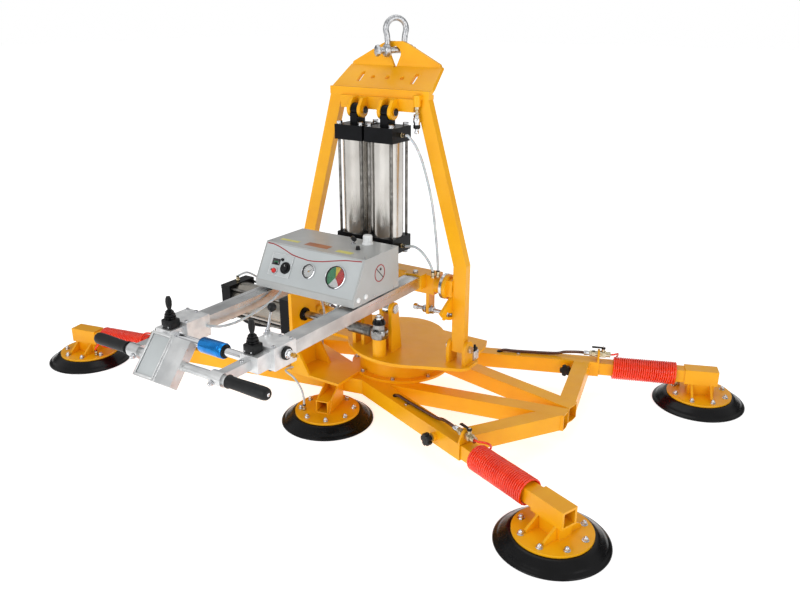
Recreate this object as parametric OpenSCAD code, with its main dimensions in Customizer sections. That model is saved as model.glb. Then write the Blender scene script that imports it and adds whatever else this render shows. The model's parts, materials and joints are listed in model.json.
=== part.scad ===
// Pneumatic vacuum lifter: a tilting and slewing four-arm suction frame.
// Origin: on the slewing axis, in the plane of the cup lips. X runs along the handlebar,
// Y from the operator to the back of the machine, Z up.

/* [Suction cups] */
// Outer diameter of the rubber lip
cup_d = 350; // [300:5:360]
// Diameter of the steel carrier disc
disc_d = 244; // [200:2:260]
// Thickness of the steel carrier disc
disc_t = 8; // [6:1:10]

/* [Lattice] */
// Outside width of the square lattice tube
tube_w = 60; // [60:1:62]
// Wall thickness of the lattice tube
tube_t = 3; // [2:0.5:4]
// Half angle of the wide pair of tubes, in degrees
wide_angle = 21.25; // [20:0.25:22]
// Half angle of the narrow pair of tubes, in degrees
narrow_angle = 11.7; // [11:0.1:12]
// Outside width of the telescopic arm
arm_w = 50; // [48:1:50]
// Distance from the end of the lattice tube to the cup's centre
arm_reach = 395; // [390:5:440]

/* [Turntable] */
// Height of the turntable's top face
plate_z = 285; // [275:1:295]
// Thickness of the turntable plate
plate_t = 12; // [10:1:15]

/* [Tilting mast] */
// Centre spacing of the mast's feet
foot_span = 668; // [660:2:676]
// Height of the bend in each leg
bend_z = 648; // [630:2:660]
// Height of the top of the legs
leg_top_z = 1192; // [1180:2:1196]
// Side of the square tilt-cylinder caps
cap_w = 114; // [110:1:116]

/* [Control arm] */
// Width of the aluminium beams
beam_w = 57; // [50:1:60]
// Height of the aluminium beams
beam_h = 41; // [40:1:44]
// Width of the control box
box_w = 405; // [380:5:405]
// Length of the handlebar
bar_l = 632; // [620:4:640]

/* [Hidden] */
$fn = 48;
e = 0.01;

// Lattice levels
lat_z0 = 85;
lat_z1 = lat_z0 + tube_w;
axis_z = lat_z0 + tube_w / 2;
wide_x = -514;      // where the wide pair of tubes meets
narrow_x = 715;     // where the narrow pair ends, side by side
// Arms: [end of the lattice tube along X, side (-1 front, 1 rear), towards (1 right, -1 left), knob side]
ARMS = [[-975, -1, -1, 1], [515, -1, 1, -1], [655, 1, 1, -1], [-640, 1, -1, 1]];
function arm_y(i) = ARMS[i][1] * (ARMS[i][2] > 0
    ? (ARMS[i][0] - wide_x) * tan(wide_angle)
    : tube_w / 2 + 1 + (narrow_x - ARMS[i][0]) * tan(narrow_angle));
function arm_turn(i) = ARMS[i][2] > 0
    ? ARMS[i][1] * wide_angle
    : 180 - ARMS[i][1] * narrow_angle;
module at_arm(i) translate([ARMS[i][0], arm_y(i), 0]) rotate(arm_turn(i)) children();

// Side cups: [X of the cup, side]
SIDE = [[-151, -1], [-280, 1]];
side_off = 110;     // cup centre to the axis of its tube
function side_y(x) = tube_w / 2 + 1 + (narrow_x - x) * tan(narrow_angle);
module at_side(i) translate([SIDE[i][0], SIDE[i][1] * side_y(SIDE[i][0]), 0])
    rotate(SIDE[i][1] * (90 - narrow_angle)) children();

// Mast
mast_y = -132;      // plane of the legs
foot_z = 325;
hinge_z = 340;
leg_w = 50;
leg_t = 30;
leg_top_x = 176;
cyl_x = 62;         // centre of each tilt cylinder
cyl_y = -180;
eye_z = 1150;       // upper pivot of the tilt cylinders
lug_z = 450;        // lower pivot of the tilt cylinders
axle_z = 560;       // pivot of the control arm
// Slewing gear
post_x = 61;
post_y = -241;
rod_z = 370;
// Control arm
beam_x = 171.5;     // centre of each beam
beam_z = 555;
beam_y0 = -870;
beam_y1 = -191;
lock_y = -10;       // lock screw, from the axle
lock_z = -97;
bar_y = -1114;
bar_z = 574;

module yellow() color([0.93, 0.62, 0.10]) children();
module black() color([0.06, 0.06, 0.06]) children();
module steel() color([0.70, 0.71, 0.72]) children();
module alu() color([0.80, 0.81, 0.82]) children();

// A box given by its low and high corners
module block(a, b) translate(a) cube(b - a);
// A square tube along +X, centred on the axis
module square_tube(l, w, t)
    difference() {
        translate([0, -w / 2, -w / 2]) cube([l, w, w]);
        translate([-e, -w / 2 + t, -w / 2 + t]) cube([l + 2 * e, w - 2 * t, w - 2 * t]);
    }
// A cylinder along X
module xcyl(l, d) rotate([0, 90, 0]) cylinder(d = d, h = l);
// A cylinder along Y
module ycyl(l, d) rotate([-90, 0, 0]) cylinder(d = d, h = l);
// A flat plate with its outline in YZ, thick along X
module yz_plate(t) rotate([90, 0, 90]) linear_extrude(t) children();

// ---------------------------------------------------------------- lattice
wide_l_front = (ARMS[1][0] - wide_x) / cos(wide_angle);
wide_l_rear = (ARMS[2][0] - wide_x) / cos(wide_angle);
module wide_line(side) translate([wide_x, 0, axis_z]) rotate(side * wide_angle) children();
module narrow_line(side)
    translate([narrow_x, side * (tube_w / 2 + 1), axis_z]) rotate(180 - side * narrow_angle) children();
// Volume that a wide tube takes, used to notch the tubes that butt against it
module wide_block(side)
    wide_line(side) translate([-200, -tube_w / 2, -tube_w / 2 - 1]) cube([1800, tube_w, tube_w + 2]);

module long_tube_front() yellow()
    wide_line(-1) translate([-45, 0, 0]) square_tube(wide_l_front + 45, tube_w, tube_t);
module long_tube_rear() yellow()
    difference() {
        wide_line(1) translate([30, 0, 0]) square_tube(wide_l_rear - 30, tube_w, tube_t);
        wide_block(-1);
    }
module cross_tube(side, x_end) yellow()
    difference() {
        narrow_line(side) square_tube((narrow_x - x_end) / cos(narrow_angle), tube_w, tube_t);
        wide_block(side);
        // the two tubes end flush at the right
        block([narrow_x, -200, 0], [narrow_x + 200, 200, 300]);
        block([narrow_x - 400, -side * 200 - 200, 0], [narrow_x + 200, -side * 200 + 200, 300]);
    }
module cross_tube_front() cross_tube(-1, ARMS[0][0]);
module cross_tube_rear() cross_tube(1, ARMS[3][0]);

brace_x = 684;      // where the braces leave the narrow pair
module brace(side, x_at) {
    y_at = (x_at - wide_x) * tan(wide_angle);
    dx = x_at - brace_x;
    dy = y_at - tube_w;
    difference() {
        translate([brace_x, side * 40, axis_z]) rotate(side * atan2(dy, dx))
            square_tube(norm([dx, dy]) + 60, tube_w, tube_t);
        wide_block(side);
        narrow_line(side) translate([-100, -tube_w / 2, -tube_w / 2 - 1])
            cube([900, tube_w, tube_w + 2]);
        // nothing past the middle line or beyond the wide tube
        block([0, -side * 200 - 200, 0], [900, -side * 200 + 200, 300]);
        wide_line(side) translate([-200, side > 0 ? 0 : -600, -200]) cube([1800, 600, 400]);
    }
}
module end_braces() yellow() {
    brace(-1, 470);
    brace(1, 600);
}

// Upright end plates with a rounded top, welded on each lattice tube's end, and clamp bosses
tab_t = 8;
valve_z = lat_z1 + 26;  // height of the ball valve's bore
knob_at = -130;     // knob position along the tube
boss_l = 14;
module tab_outline() {
    translate([-tube_w / 2, lat_z1]) square([tube_w, 8]);
    polygon([[-tube_w / 2, lat_z1 + 8], [tube_w / 2, lat_z1 + 8], [19, valve_z + 6], [-19, valve_z + 6]]);
    translate([0, valve_z]) circle(r = 20);
}
module arm_collars() yellow() for (i = [0:3]) at_arm(i) {
    difference() {
        translate([-tab_t, 0, 0]) yz_plate(tab_t) tab_outline();
        translate([-tab_t - e, 0, valve_z]) xcyl(tab_t + 2 * e, 22);
    }
    side = ARMS[i][3];
    translate([knob_at, side * tube_w / 2 + (side < 0 ? -boss_l : 0), axis_z])
        difference() {
            ycyl(boss_l, 30);
            translate([0, -e, 0]) ycyl(boss_l + 2 * e, 12.1);
        }
}
// Brass valve bodies held in the end plates, with hose tails on both ends
module ball_valves() color([0.72, 0.58, 0.30]) for (i = [0:3]) at_arm(i)
    translate([0, 0, valve_z]) difference() {
        union() {
            translate([-40, 0, 0]) xcyl(82, 22);
            translate([2, 0, 0]) rotate([0, 90, 0]) cylinder(d = 30, h = 22, $fn = 6);
            translate([13, 0, 0]) cylinder(d = 14, h = 22);
            translate([-30, 0, 0]) rotate([0, 90, 0]) cylinder(d = 27, h = 12, $fn = 6);
        }
        translate([-41, 0, 0]) xcyl(84, 10);
        translate([13, 0, 5.1]) cylinder(d = 8.1, h = 20);
    }
// Black quarter-turn levers on the valve stems
module lever(i) black() at_arm(i) translate([13, 0, valve_z]) {
    translate([0, 0, 6]) cylinder(d = 8, h = 18);
    translate([-9, -9, 22.5]) cube([18, 18, 8]);
    translate([-46, -7, 26]) cube([40, 14, 6]);
}
module lever_front_left() lever(0);
module lever_front_right() lever(1);
module lever_rear_right() lever(2);
module lever_rear_left() lever(3);
// Star knobs whose screws clamp the telescopic arms
module knob(i) black() at_arm(i) {
    side = ARMS[i][3];
    translate([knob_at, side * tube_w / 2, axis_z]) rotate([side > 0 ? -90 : 90, 0, 0]) {
        translate([0, 0, 1]) cylinder(d = 12, h = 24);
        translate([0, 0, 24]) difference() {
            cylinder(d = 46, h = 20);
            for (k = [0:4]) rotate(k * 72) translate([27, 0, -1]) cylinder(d = 20, h = 22);
        }
    }
}
module knob_front_left() knob(0);
module knob_front_right() knob(1);
module knob_rear_right() knob(2);
module knob_rear_left() knob(3);

// ---------------------------------------------------------------- cups
// The rubber cup: a soft cone with a hollow underside and a hole for the vacuum port
seal_top = 36;
module seal() color([0.05, 0.05, 0.05])
    rotate_extrude($fn = 96) polygon([
        [15, seal_top], [disc_d / 2 + 4, seal_top], [disc_d / 2 + 14, seal_top - 3],
        [cup_d / 2 - 3, 7], [cup_d / 2, 2], [cup_d / 2, 0], [cup_d / 2 - 9, 0],
        [cup_d / 2 - 40, 20], [disc_d / 2 - 12, 26], [15, 26]
    ]);
// Carrier disc with its pedestal, side gussets, clamp sleeve and studs
module carrier() {
    difference() {
        translate([0, 0, seal_top]) cylinder(d = disc_d, h = disc_t, $fn = 96);
        translate([-75, 45, seal_top - 1]) cylinder(d = 14, h = disc_t + 2);
    }
    ped_z = seal_top + disc_t;
    translate([-50, -25, ped_z]) cube([100, 50, lat_z0 - ped_z]);
    for (x = [-40, 32]) for (s = [-1, 1])
        translate([x, 0, 0]) mirror([0, s < 0 ? 1 : 0, 0]) yz_plate(8)
            polygon([[25, ped_z], [78, ped_z], [78, ped_z + 8], [30, lat_z0], [25, lat_z0]]);
    difference() {
        translate([-65, -tube_w / 2, lat_z0]) cube([125, tube_w, tube_w]);
        translate([-66, -arm_w / 2, axis_z - arm_w / 2]) cube([127, arm_w, arm_w]);
    }
}
arm_in = 330;       // length of arm left inside the lattice tube
module arm(i) yellow() at_arm(i) {
    translate([-arm_in, 0, axis_z]) square_tube(arm_in + arm_reach + 60, arm_w, 3);
    translate([arm_reach, 0, 0]) carrier();
}
module arm_front_left() arm(0);
module arm_front_right() arm(1);
module arm_rear_right() arm(2);
module arm_rear_left() arm(3);
module seal_front_left() at_arm(0) translate([arm_reach, 0, 0]) seal();
module seal_front_right() at_arm(1) translate([arm_reach, 0, 0]) seal();
module seal_rear_right() at_arm(2) translate([arm_reach, 0, 0]) seal();
module seal_rear_left() at_arm(3) translate([arm_reach, 0, 0]) seal();
// Outer shape of the coiled hoses that the arms carry
coil_d = 92;
coil_x0 = 22;
coil_x1 = 300;
module coil(i) color([0.98, 0.32, 0.10]) at_arm(i)
    translate([coil_x0, 0, axis_z]) difference() {
        xcyl(coil_x1 - coil_x0, coil_d);
        translate([-1, 0, 0]) xcyl(coil_x1 - coil_x0 + 2, 74);
        // room for the ball valve above the arm
        translate([-1, -20, 35]) cube([26, 40, 30]);
    }
module coil_front_left() coil(0);
module coil_front_right() coil(1);
module coil_rear_right() coil(2);
module coil_rear_left() coil(3);

// Fixed cups under sloping brackets beside the narrow tubes
module side_brackets() yellow() for (i = [0:1]) at_side(i) {
    ped_z = seal_top + disc_t;
    translate([tube_w / 2, -tube_w / 2, ped_z]) cube([10, tube_w, lat_z1 - ped_z]);
    translate([tube_w / 2 + 10, 0, ped_z + arm_w / 2])
        square_tube(side_off + 45 - tube_w / 2 - 10, arm_w, 4);
    for (s = [-1, 1]) mirror([0, s < 0 ? 1 : 0, 0])
        translate([tube_w / 2 + 10, arm_w / 2, 0]) rotate([90, 0, 0]) translate([0, 0, -5])
            linear_extrude(5) polygon([[0, ped_z], [side_off, ped_z], [side_off - 20, ped_z + arm_w],
                [0, lat_z1]]);
    difference() {
        translate([side_off, 0, seal_top]) cylinder(d = disc_d, h = disc_t, $fn = 96);
        translate([side_off + 45, -75, seal_top - 1]) cylinder(d = 14, h = disc_t + 2);
    }
}
module side_seals() for (i = [0:1]) at_side(i) translate([side_off, 0, 0]) seal();

// ---------------------------------------------------------------- slewing gear
bush_r = 30;
ring_z = 200;
module slew_base() yellow() {
    difference() {
        union() {
            translate([0, 0, lat_z1]) cylinder(d = 390, h = 10, $fn = 96);
            translate([0, 0, lat_z1 + 10]) cylinder(d = 330, h = ring_z - lat_z1 - 10, $fn = 96);
            // foot of the cylinder bracket, reaching out over the front tubes
            translate([-330, -311, lat_z1]) cube([250, 180, 10]);
        }
        translate([0, 0, lat_z1 - 1]) cylinder(r = bush_r + 0.05, h = 200);
    }
    difference() {
        translate([-305, -311, lat_z1 + 10]) cube([15, 140, 315]);
        translate([-306, post_y, rod_z]) xcyl(17, 52);
    }
    for (y = [-311, -183]) translate([-290, y, lat_z1 + 10]) rotate([90, 0, 0]) mirror([0, 0, 1])
        linear_extrude(12) polygon([[0, 0], [70, 0], [0, 120]]);
}
slew_len = 350;
slew_cap = 140;
module slew_cylinder() color([0.30, 0.30, 0.31]) translate([-305 - slew_len, post_y, rod_z]) {
    difference() {
        translate([0, -slew_cap / 2, -slew_cap / 2]) cube([45, slew_cap, slew_cap]);
        translate([15, 0, 0]) xcyl(31, 60);
    }
    difference() {
        translate([slew_len - 45, -slew_cap / 2, -slew_cap / 2]) cube([45, slew_cap, slew_cap]);
        translate([slew_len - 46, 0, 0]) xcyl(47, 30.1);
    }
    difference() {
        translate([45, 0, 0]) xcyl(slew_len - 90, 132);
        translate([44, 0, 0]) xcyl(slew_len - 88, 125.1);
    }
    difference() {
        translate([slew_len, 0, 0]) xcyl(24, 50);
        translate([slew_len - 1, 0, 0]) xcyl(26, 30.1);
    }
}
// Rod with piston, rod end, stud and nut; the stud stands just clear of the turntable's post
eye_t = 30;
eye_d = 64;
module slew_rod() steel() translate([0, post_y, rod_z]) {
    translate([-425, 0, 0]) xcyl(25, 125);
    translate([-400, 0, 0]) xcyl(400 + post_x - 60, 30);
    translate([post_x - 60, 0, 0]) xcyl(60, 24);
    translate([post_x, 0, 0]) {
        translate([0, 0, -eye_t / 2]) cylinder(d = eye_d, h = eye_t);
        translate([0, 0, -eye_t / 2 - 3]) cylinder(d = 26, h = eye_t + 3);
        translate([0, 0, eye_t / 2]) cylinder(d = 46, h = 22, $fn = 6);
        translate([0, 0, eye_t / 2 + 22]) cylinder(d = 34, h = 14, $fn = 6);
    }
}
post_top = rod_z - eye_t / 2 - 3.5;
nose_x = 87;
nose_y = -18;
nose_r = 268;
module plate_outline() {
    intersection() {
        translate([nose_x, nose_y]) circle(r = nose_r, $fn = 128);
        translate([-400, -300]) square([800, 390]);
    }
    // right wing, tangent to the nose, out to the right foot
    polygon([[165, -274], [372, -184], [388, -160], [388, -92], [300, 20], [200, 90], [0, 90]]);
    // left wing out to the left foot
    polygon([[-388, -168], [-388, -92], [-300, 0], [-160, 90], [0, 90], [-60, -168]]);
}
ear_t = 12;
ear_gap = 52;
module foot_ear(x) translate([x, mast_y, plate_z]) yz_plate(ear_t)
    difference() {
        union() {
            translate([-30, 0]) square([60, hinge_z - plate_z]);
            translate([0, hinge_z - plate_z]) circle(r = 30);
        }
        translate([0, hinge_z - plate_z]) circle(r = 8.05);
    }
lug_gap = 26;
module rod_lug(x) translate([x, cyl_y, plate_z]) yz_plate(14)
    difference() {
        union() {
            polygon([[-21, 0], [45, 0], [24, lug_z - plate_z], [-21, lug_z - plate_z]]);
            translate([0, lug_z - plate_z]) circle(r = 24);
        }
        translate([0, lug_z - plate_z]) circle(r = 12);
    }
module turntable() yellow() {
    translate([0, 0, plate_z - plate_t]) linear_extrude(plate_t) plate_outline();
    translate([0, 0, ring_z + 1]) cylinder(d = 340, h = plate_z - plate_t - ring_z - 1, $fn = 96);
    translate([0, 0, lat_z1 + 5]) cylinder(r = bush_r, h = ring_z - lat_z1 - 4);
    translate([post_x, post_y, plate_z]) cylinder(d = 50, h = post_top - plate_z);
    for (s = [-1, 1]) for (k = [-1, 1])
        foot_ear(s * foot_span / 2 + (k < 0 ? -ear_gap / 2 - ear_t : ear_gap / 2));
    for (s = [-1, 1]) for (k = [-1, 1])
        rod_lug(s * cyl_x + (k < 0 ? -lug_gap / 2 - 14 : lug_gap / 2));
}
// The tilt axle bolts at the feet, fixed in the turntable's ears, and caps on the rod lugs
module hinge_bolts() steel() {
    for (s = [-1, 1]) translate([s * foot_span / 2, mast_y, hinge_z]) {
        translate([-45, 0, 0]) xcyl(90, 16);
        translate([-ear_gap / 2 - ear_t - 12, 0, 0]) rotate([0, 90, 0]) cylinder(d = 27, h = 12, $fn = 6);
        translate([ear_gap / 2 + ear_t, 0, 0]) rotate([0, 90, 0]) cylinder(d = 27, h = 12, $fn = 6);
    }
    for (s = [-1, 1]) for (k = [-1, 1])
        translate([s * cyl_x + k * (lug_gap / 2 + 7), cyl_y, lug_z])
            rotate([0, k * 90, 0]) translate([0, 0, -7]) {
                cylinder(d = 24, h = 14);
                translate([0, 0, 14]) cylinder(d = 34, h = 6);
            }
}

// ---------------------------------------------------------------- tilting mast
module leg_shape() polygon([
    [foot_span / 2 - leg_w / 2, foot_z], [foot_span / 2 + leg_w / 2, foot_z],
    [foot_span / 2 + leg_w / 2, bend_z], [leg_top_x + leg_w / 2, leg_top_z],
    [leg_top_x - leg_w / 2, leg_top_z], [foot_span / 2 - leg_w / 2, bend_z - 6]
]);
module leg_core() polygon([
    [foot_span / 2 - leg_w / 2 + 3, foot_z + 40], [foot_span / 2 + leg_w / 2 - 3, foot_z + 40],
    [foot_span / 2 + leg_w / 2 - 3, bend_z], [leg_top_x + leg_w / 2 - 3, leg_top_z + 1],
    [leg_top_x - leg_w / 2 + 3, leg_top_z + 1], [foot_span / 2 - leg_w / 2 + 3, bend_z - 6]
]);
module leg() difference() {
    translate([0, mast_y + leg_t / 2, 0]) rotate([90, 0, 0]) linear_extrude(leg_t) leg_shape();
    translate([0, mast_y + leg_t / 2 - 3, 0]) rotate([90, 0, 0]) linear_extrude(leg_t - 6) leg_core();
    translate([foot_span / 2 - 40, mast_y, hinge_z]) xcyl(80, 16.1);
}
module legs() yellow() {
    leg();
    mirror([1, 0, 0]) leg();
}
// Folded lifting plate on a crossbeam, with the cylinder ears under it
lp_t = 12;
lp_y0 = -126;
lp_z0 = 1207;
lp_y1 = -34;
lp_z1 = 1275;
apex_z = 1368;
fold_a = atan2(lp_z1 - lp_z0, lp_y1 - lp_y0);
hook_z = 1328;
ear_pin = 20;
module lift_plate() yellow() difference() {
    union() {
        // crossbeam between the tops of the legs
        translate([-203, mast_y - 15, leg_top_z]) cube([406, 30, 15]);
        translate([-leg_top_x + 26, mast_y - 25, 1150]) cube([2 * leg_top_x - 52, 40, 42]);
        // sloping face
        intersection() {
            translate([-210, 0, 0]) yz_plate(420) polygon([
                [lp_y0 - 21, lp_z0], [lp_y0 - 2, lp_z0],
                [lp_y1 + 6, lp_z0 + (lp_y1 - lp_y0 + 8) * tan(fold_a)], [lp_y1 + 6, lp_z1 + lp_t],
                [lp_y1 - 6, lp_z1 + lp_t], [lp_y0 - 6, lp_z0 + lp_t], [lp_y0 - 21, lp_z0 + lp_t]
            ]);
            rotate([90, 0, 0]) translate([0, 0, -100]) linear_extrude(400) polygon([
                [-203, lp_z0 - 5], [203, lp_z0 - 5], [203, lp_z0 + 14], [183, lp_z1 + 30],
                [-183, lp_z1 + 30], [-203, lp_z0 + 14]
            ]);
        }
        // boss for the air supply
        translate([165, mast_y - 28, 1170]) cylinder(d = 24, h = lp_z0 - 1170);
        translate([153, mast_y - 28, 1192]) cube([24, 20, lp_z0 - 1192]);
        // upright tab with the hook eye
        translate([0, lp_y1 + 6, 0]) rotate([90, 0, 0]) linear_extrude(lp_t) union() {
            polygon([[-183, lp_z1 + lp_t], [183, lp_z1 + lp_t], [178, lp_z1 + 22],
                     [52, apex_z - 8], [30, apex_z], [-30, apex_z], [-52, apex_z - 8], [-178, lp_z1 + 22]]);
        }
        // ears and pins for the tilt cylinders
        for (s = [-1, 1]) translate([s * cyl_x - 33, cyl_y, eye_z]) xcyl(66, ear_pin);
        for (s = [-1, 1]) for (k = [-1, 1])
            translate([s * cyl_x + (k < 0 ? -15 - 12 : 15), cyl_y, eye_z]) yz_plate(12) union() {
                ear_back = mast_y - cyl_y - 25;
                circle(r = 26);
                polygon([[-24, 10], [26, -10], [ear_back, -0.5], [ear_back, 42], [-5, 38]]);
            }
    }
    // hook hole, a tear drop
    translate([0, lp_y1 + 20, hook_z]) rotate([90, 0, 0]) {
        cylinder(d = 46, h = 40);
        linear_extrude(40) polygon([[-21.6, -7.9], [21.6, -7.9], [4, -46], [-4, -46]]);
    }
    // row of holes and slots in the sloping face
    translate([0, -86, 1247]) rotate([fold_a, 0, 0]) {
        for (x = [-60, 0, 60]) translate([x, 0, -20]) cylinder(d = 17, h = 40);
        for (x = [-110, 110]) {
            for (y = [-19, 19]) translate([x, y, -20]) cylinder(d = 15, h = 40);
            translate([x - 7.5, -19, -20]) cube([15, 38, 40]);
        }
    }
    // threaded socket for the air supply
    translate([165, mast_y - 28, 1169]) cylinder(d = 11.8, h = 21);
}
// Bearing blocks and flanges on the legs round the control arm's axle, and the lock plate
lock_r = 97.5;      // radius of the lock slot round the axle
module axle_mounts() yellow() {
    for (s = [-1, 1]) mirror([s < 0 ? 1 : 0, 0, 0]) difference() {
        union() {
            translate([foot_span / 2 - leg_w / 2 - 18, mast_y - 24, axle_z - 30]) cube([18, 48, 60]);
            translate([foot_span / 2 - leg_w / 2 - 30, mast_y, axle_z]) xcyl(12, 88);
        }
        translate([foot_span / 2 - leg_w / 2 - 31, mast_y, axle_z]) xcyl(32, 40.1);
    }
    difference() {
        translate([foot_span / 2 - leg_w / 2 - 10, mast_y, axle_z]) yz_plate(10) intersection() {
            union() {
                polygon([[-22, -30], [22, -30], [48, -100], [-70, -100]]);
                circle(r = lock_r + 18);
            }
            polygon([[22, -31], [-22, -31], [-92, -70], [-92, -140], [48, -140], [48, -70]]);
        }
        // arc slot for the lock screw
        translate([foot_span / 2 - leg_w / 2 - 11, mast_y, axle_z]) yz_plate(12) intersection() {
            difference() {
                circle(r = lock_r + 7.6);
                circle(r = lock_r - 7.6);
            }
            polygon([[0, 0], 300 * [cos(237), sin(237)], 300 * [cos(286), sin(286)]]);
        }
    }
}
// Clear air hoses clipped from the tilt cylinders to the axle
hose_pts_a = [[125, -190, 1075], [160, -190, 1060], [205, -180, 980], [232, -165, 860],
              [243, -155, 740], [246, -150, 640], [250, -150, 612]];
hose_pts_b = [[125, -190, 700], [165, -195, 700], [205, -190, 680], [232, -178, 645],
              [238, -170, 612]];
// Frame-by-frame sweep of a round hose through points, as one polyhedron
function unit(v) = v / norm(v);
function tan_at(p, i) = unit(p[min(i + 1, len(p) - 1)] - p[max(i - 1, 0)]);
function side_at(t) = unit(cross(t, abs(t[2]) > 0.9 ? [0, 1, 0] : [0, 0, 1]));
function mid(p, i) = // Catmull-Rom midpoint between points i and i+1
    let (a = p[max(i - 1, 0)], b = p[i], c = p[i + 1], d = p[min(i + 2, len(p) - 1)])
    (9 * (b + c) - a - d) / 16;
function finer(p) = [for (i = [0:2 * (len(p) - 1)]) i % 2 == 0 ? p[i / 2] : mid(p, (i - 1) / 2)];
module hose(p, d, n = 8) {
    q = finer(p);
    m = len(q);
    pts = [for (i = [0:m - 1]) let (t = tan_at(q, i), s = side_at(t), u = cross(s, t))
        for (k = [0:n - 1]) q[i] + d / 2 * (cos(360 * k / n) * s + sin(360 * k / n) * u)];
    walls = [for (i = [0:m - 2]) for (k = [0:n - 1])
        [i * n + k, i * n + (k + 1) % n, (i + 1) * n + (k + 1) % n, (i + 1) * n + k]];
    polyhedron(points = pts, faces = concat([for (w = walls) [w[3], w[2], w[1], w[0]]],
        [[for (k = [0:n - 1]) k]], [[for (k = [n - 1:-1:0]) (m - 1) * n + k]]));
}
module air_hoses() color([0.75, 0.77, 0.78]) {
    hose(hose_pts_a, 9);
    hose(hose_pts_b, 9);
}

// ---------------------------------------------------------------- tilt cylinders
cap_top = 1103;
cap_t = 50;
cap_low = 670;
cap_low_t = 55;
module each_cylinder() for (s = [-1, 1]) translate([s * cyl_x, cyl_y, 0]) children();
module tilt_barrels() alu() each_cylinder() {
    difference() {
        translate([0, 0, cap_low + cap_low_t]) cylinder(d = 106, h = cap_top - cap_t - cap_low - cap_low_t);
        translate([0, 0, cap_low]) cylinder(d = 100.1, h = 500);
    }
}
module tilt_caps() black() each_cylinder() {
    difference() {
        union() {
            translate([-cap_w / 2, -cap_w / 2, cap_top - cap_t]) cube([cap_w, cap_w, cap_t]);
            translate([-14, -25, cap_top]) cube([28, 50, eye_z - cap_top - 10]);
            translate([-14, 0, eye_z]) xcyl(28, 44);
        }
        translate([-15, 0, eye_z]) xcyl(30, ear_pin + 0.1);
    }
    difference() {
        translate([-cap_w / 2, -cap_w / 2, cap_low]) cube([cap_w, cap_w, cap_low_t]);
        translate([0, 0, cap_low - 1]) cylinder(d = 25.1, h = cap_low_t + 2);
    }
    for (x = [-1, 1]) for (y = [-1, 1]) translate([x * 44, y * 44, 0]) {
        translate([0, 0, cap_top]) cylinder(d = 14, h = 9);
        translate([0, 0, cap_low - 9]) cylinder(d = 14, h = 9);
    }
}
module tilt_rods() steel() each_cylinder() {
    translate([0, 0, lug_z]) cylinder(d = 25, h = 1020 - lug_z);
    translate([0, 0, 1020]) cylinder(d = 100, h = 25);
    translate([-12, 0, lug_z]) xcyl(24, 46);
    translate([0, 0, lug_z + 32]) cylinder(d = 36, h = 26, $fn = 6);
}

// ---------------------------------------------------------------- lifting shackle
bow_r = 35;
bow_d = 20;
shackle_y = lp_y1;
pin_z = hook_z + 10;
shackle_turn = -35;  // the pin stands askew in the wide eye
module shackle() steel() translate([0, shackle_y, pin_z]) rotate(shackle_turn) {
    for (s = [-1, 1]) translate([0, s * bow_r, 0]) {
        difference() {
            translate([0, s * -11, 0]) rotate([-90, 0, 0])
                translate([0, 0, s > 0 ? 0 : -22]) cylinder(d = 46, h = 22);
            translate([0, -40, 0]) ycyl(80, 22);
        }
        translate([0, 0, 20]) cylinder(d = bow_d, h = 50);
    }
    translate([0, 0, 70]) rotate([90, 0, 90]) rotate_extrude(angle = 180)
        translate([bow_r, 0]) circle(d = bow_d);
}
module shackle_pin() steel() translate([0, shackle_y, pin_z]) rotate(shackle_turn) {
    translate([0, -62, 0]) ycyl(124, 22);
    translate([0, -74, 0]) rotate([-90, 0, 0]) cylinder(d = 38, h = 12, $fn = 6);
    translate([0, 62, 0]) ycyl(10, 36);
}

// ---------------------------------------------------------------- control arm
module beams() alu() for (s = [-1, 1]) translate([s * beam_x, beam_y0, beam_z + beam_h / 2])
    difference() {
        translate([-beam_w / 2, 0, -beam_h / 2]) cube([beam_w, beam_y1 - beam_y0, beam_h]);
        translate([-beam_w / 2 + 3, -1, -beam_h / 2 + 3])
            cube([beam_w - 6, beam_y1 - beam_y0 + 2, beam_h - 6]);
    }
flange_x = foot_span / 2 - leg_w / 2 - 30;
bar_y0 = mast_y - 22;   // front face of the crossbar
module arm_crossbar() yellow() {
    difference() {
        translate([-230, bar_y0, axle_z - 35]) cube([460, 60, 70]);
        translate([-231, bar_y0 + 4, axle_z - 31]) cube([462, 52, 62]);
    }
    for (s = [-1, 1]) mirror([s < 0 ? 1 : 0, 0, 0]) {
        // closing plate, hub, flange and stub axle
        translate([230, bar_y0, axle_z - 35]) cube([8, 60, 70]);
        translate([238, mast_y, axle_z]) xcyl(flange_x - 250.5, 60);
        translate([flange_x - 12.5, mast_y, axle_z]) xcyl(12, 88);
        translate([flange_x - 0.5, mast_y, axle_z]) xcyl(29, 40);
        // bracket that carries the beam
        translate([beam_x - 35, beam_y1, beam_z - 5]) cube([70, bar_y0 - beam_y1, beam_h + 10]);
    }
    // lug that guides the lock screw
    difference() {
        translate([205, mast_y - 22, axle_z - 112]) cube([12, 40, 77]);
        translate([200, mast_y + lock_y, axle_z + lock_z]) xcyl(30, 14.1);
    }
}
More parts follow.
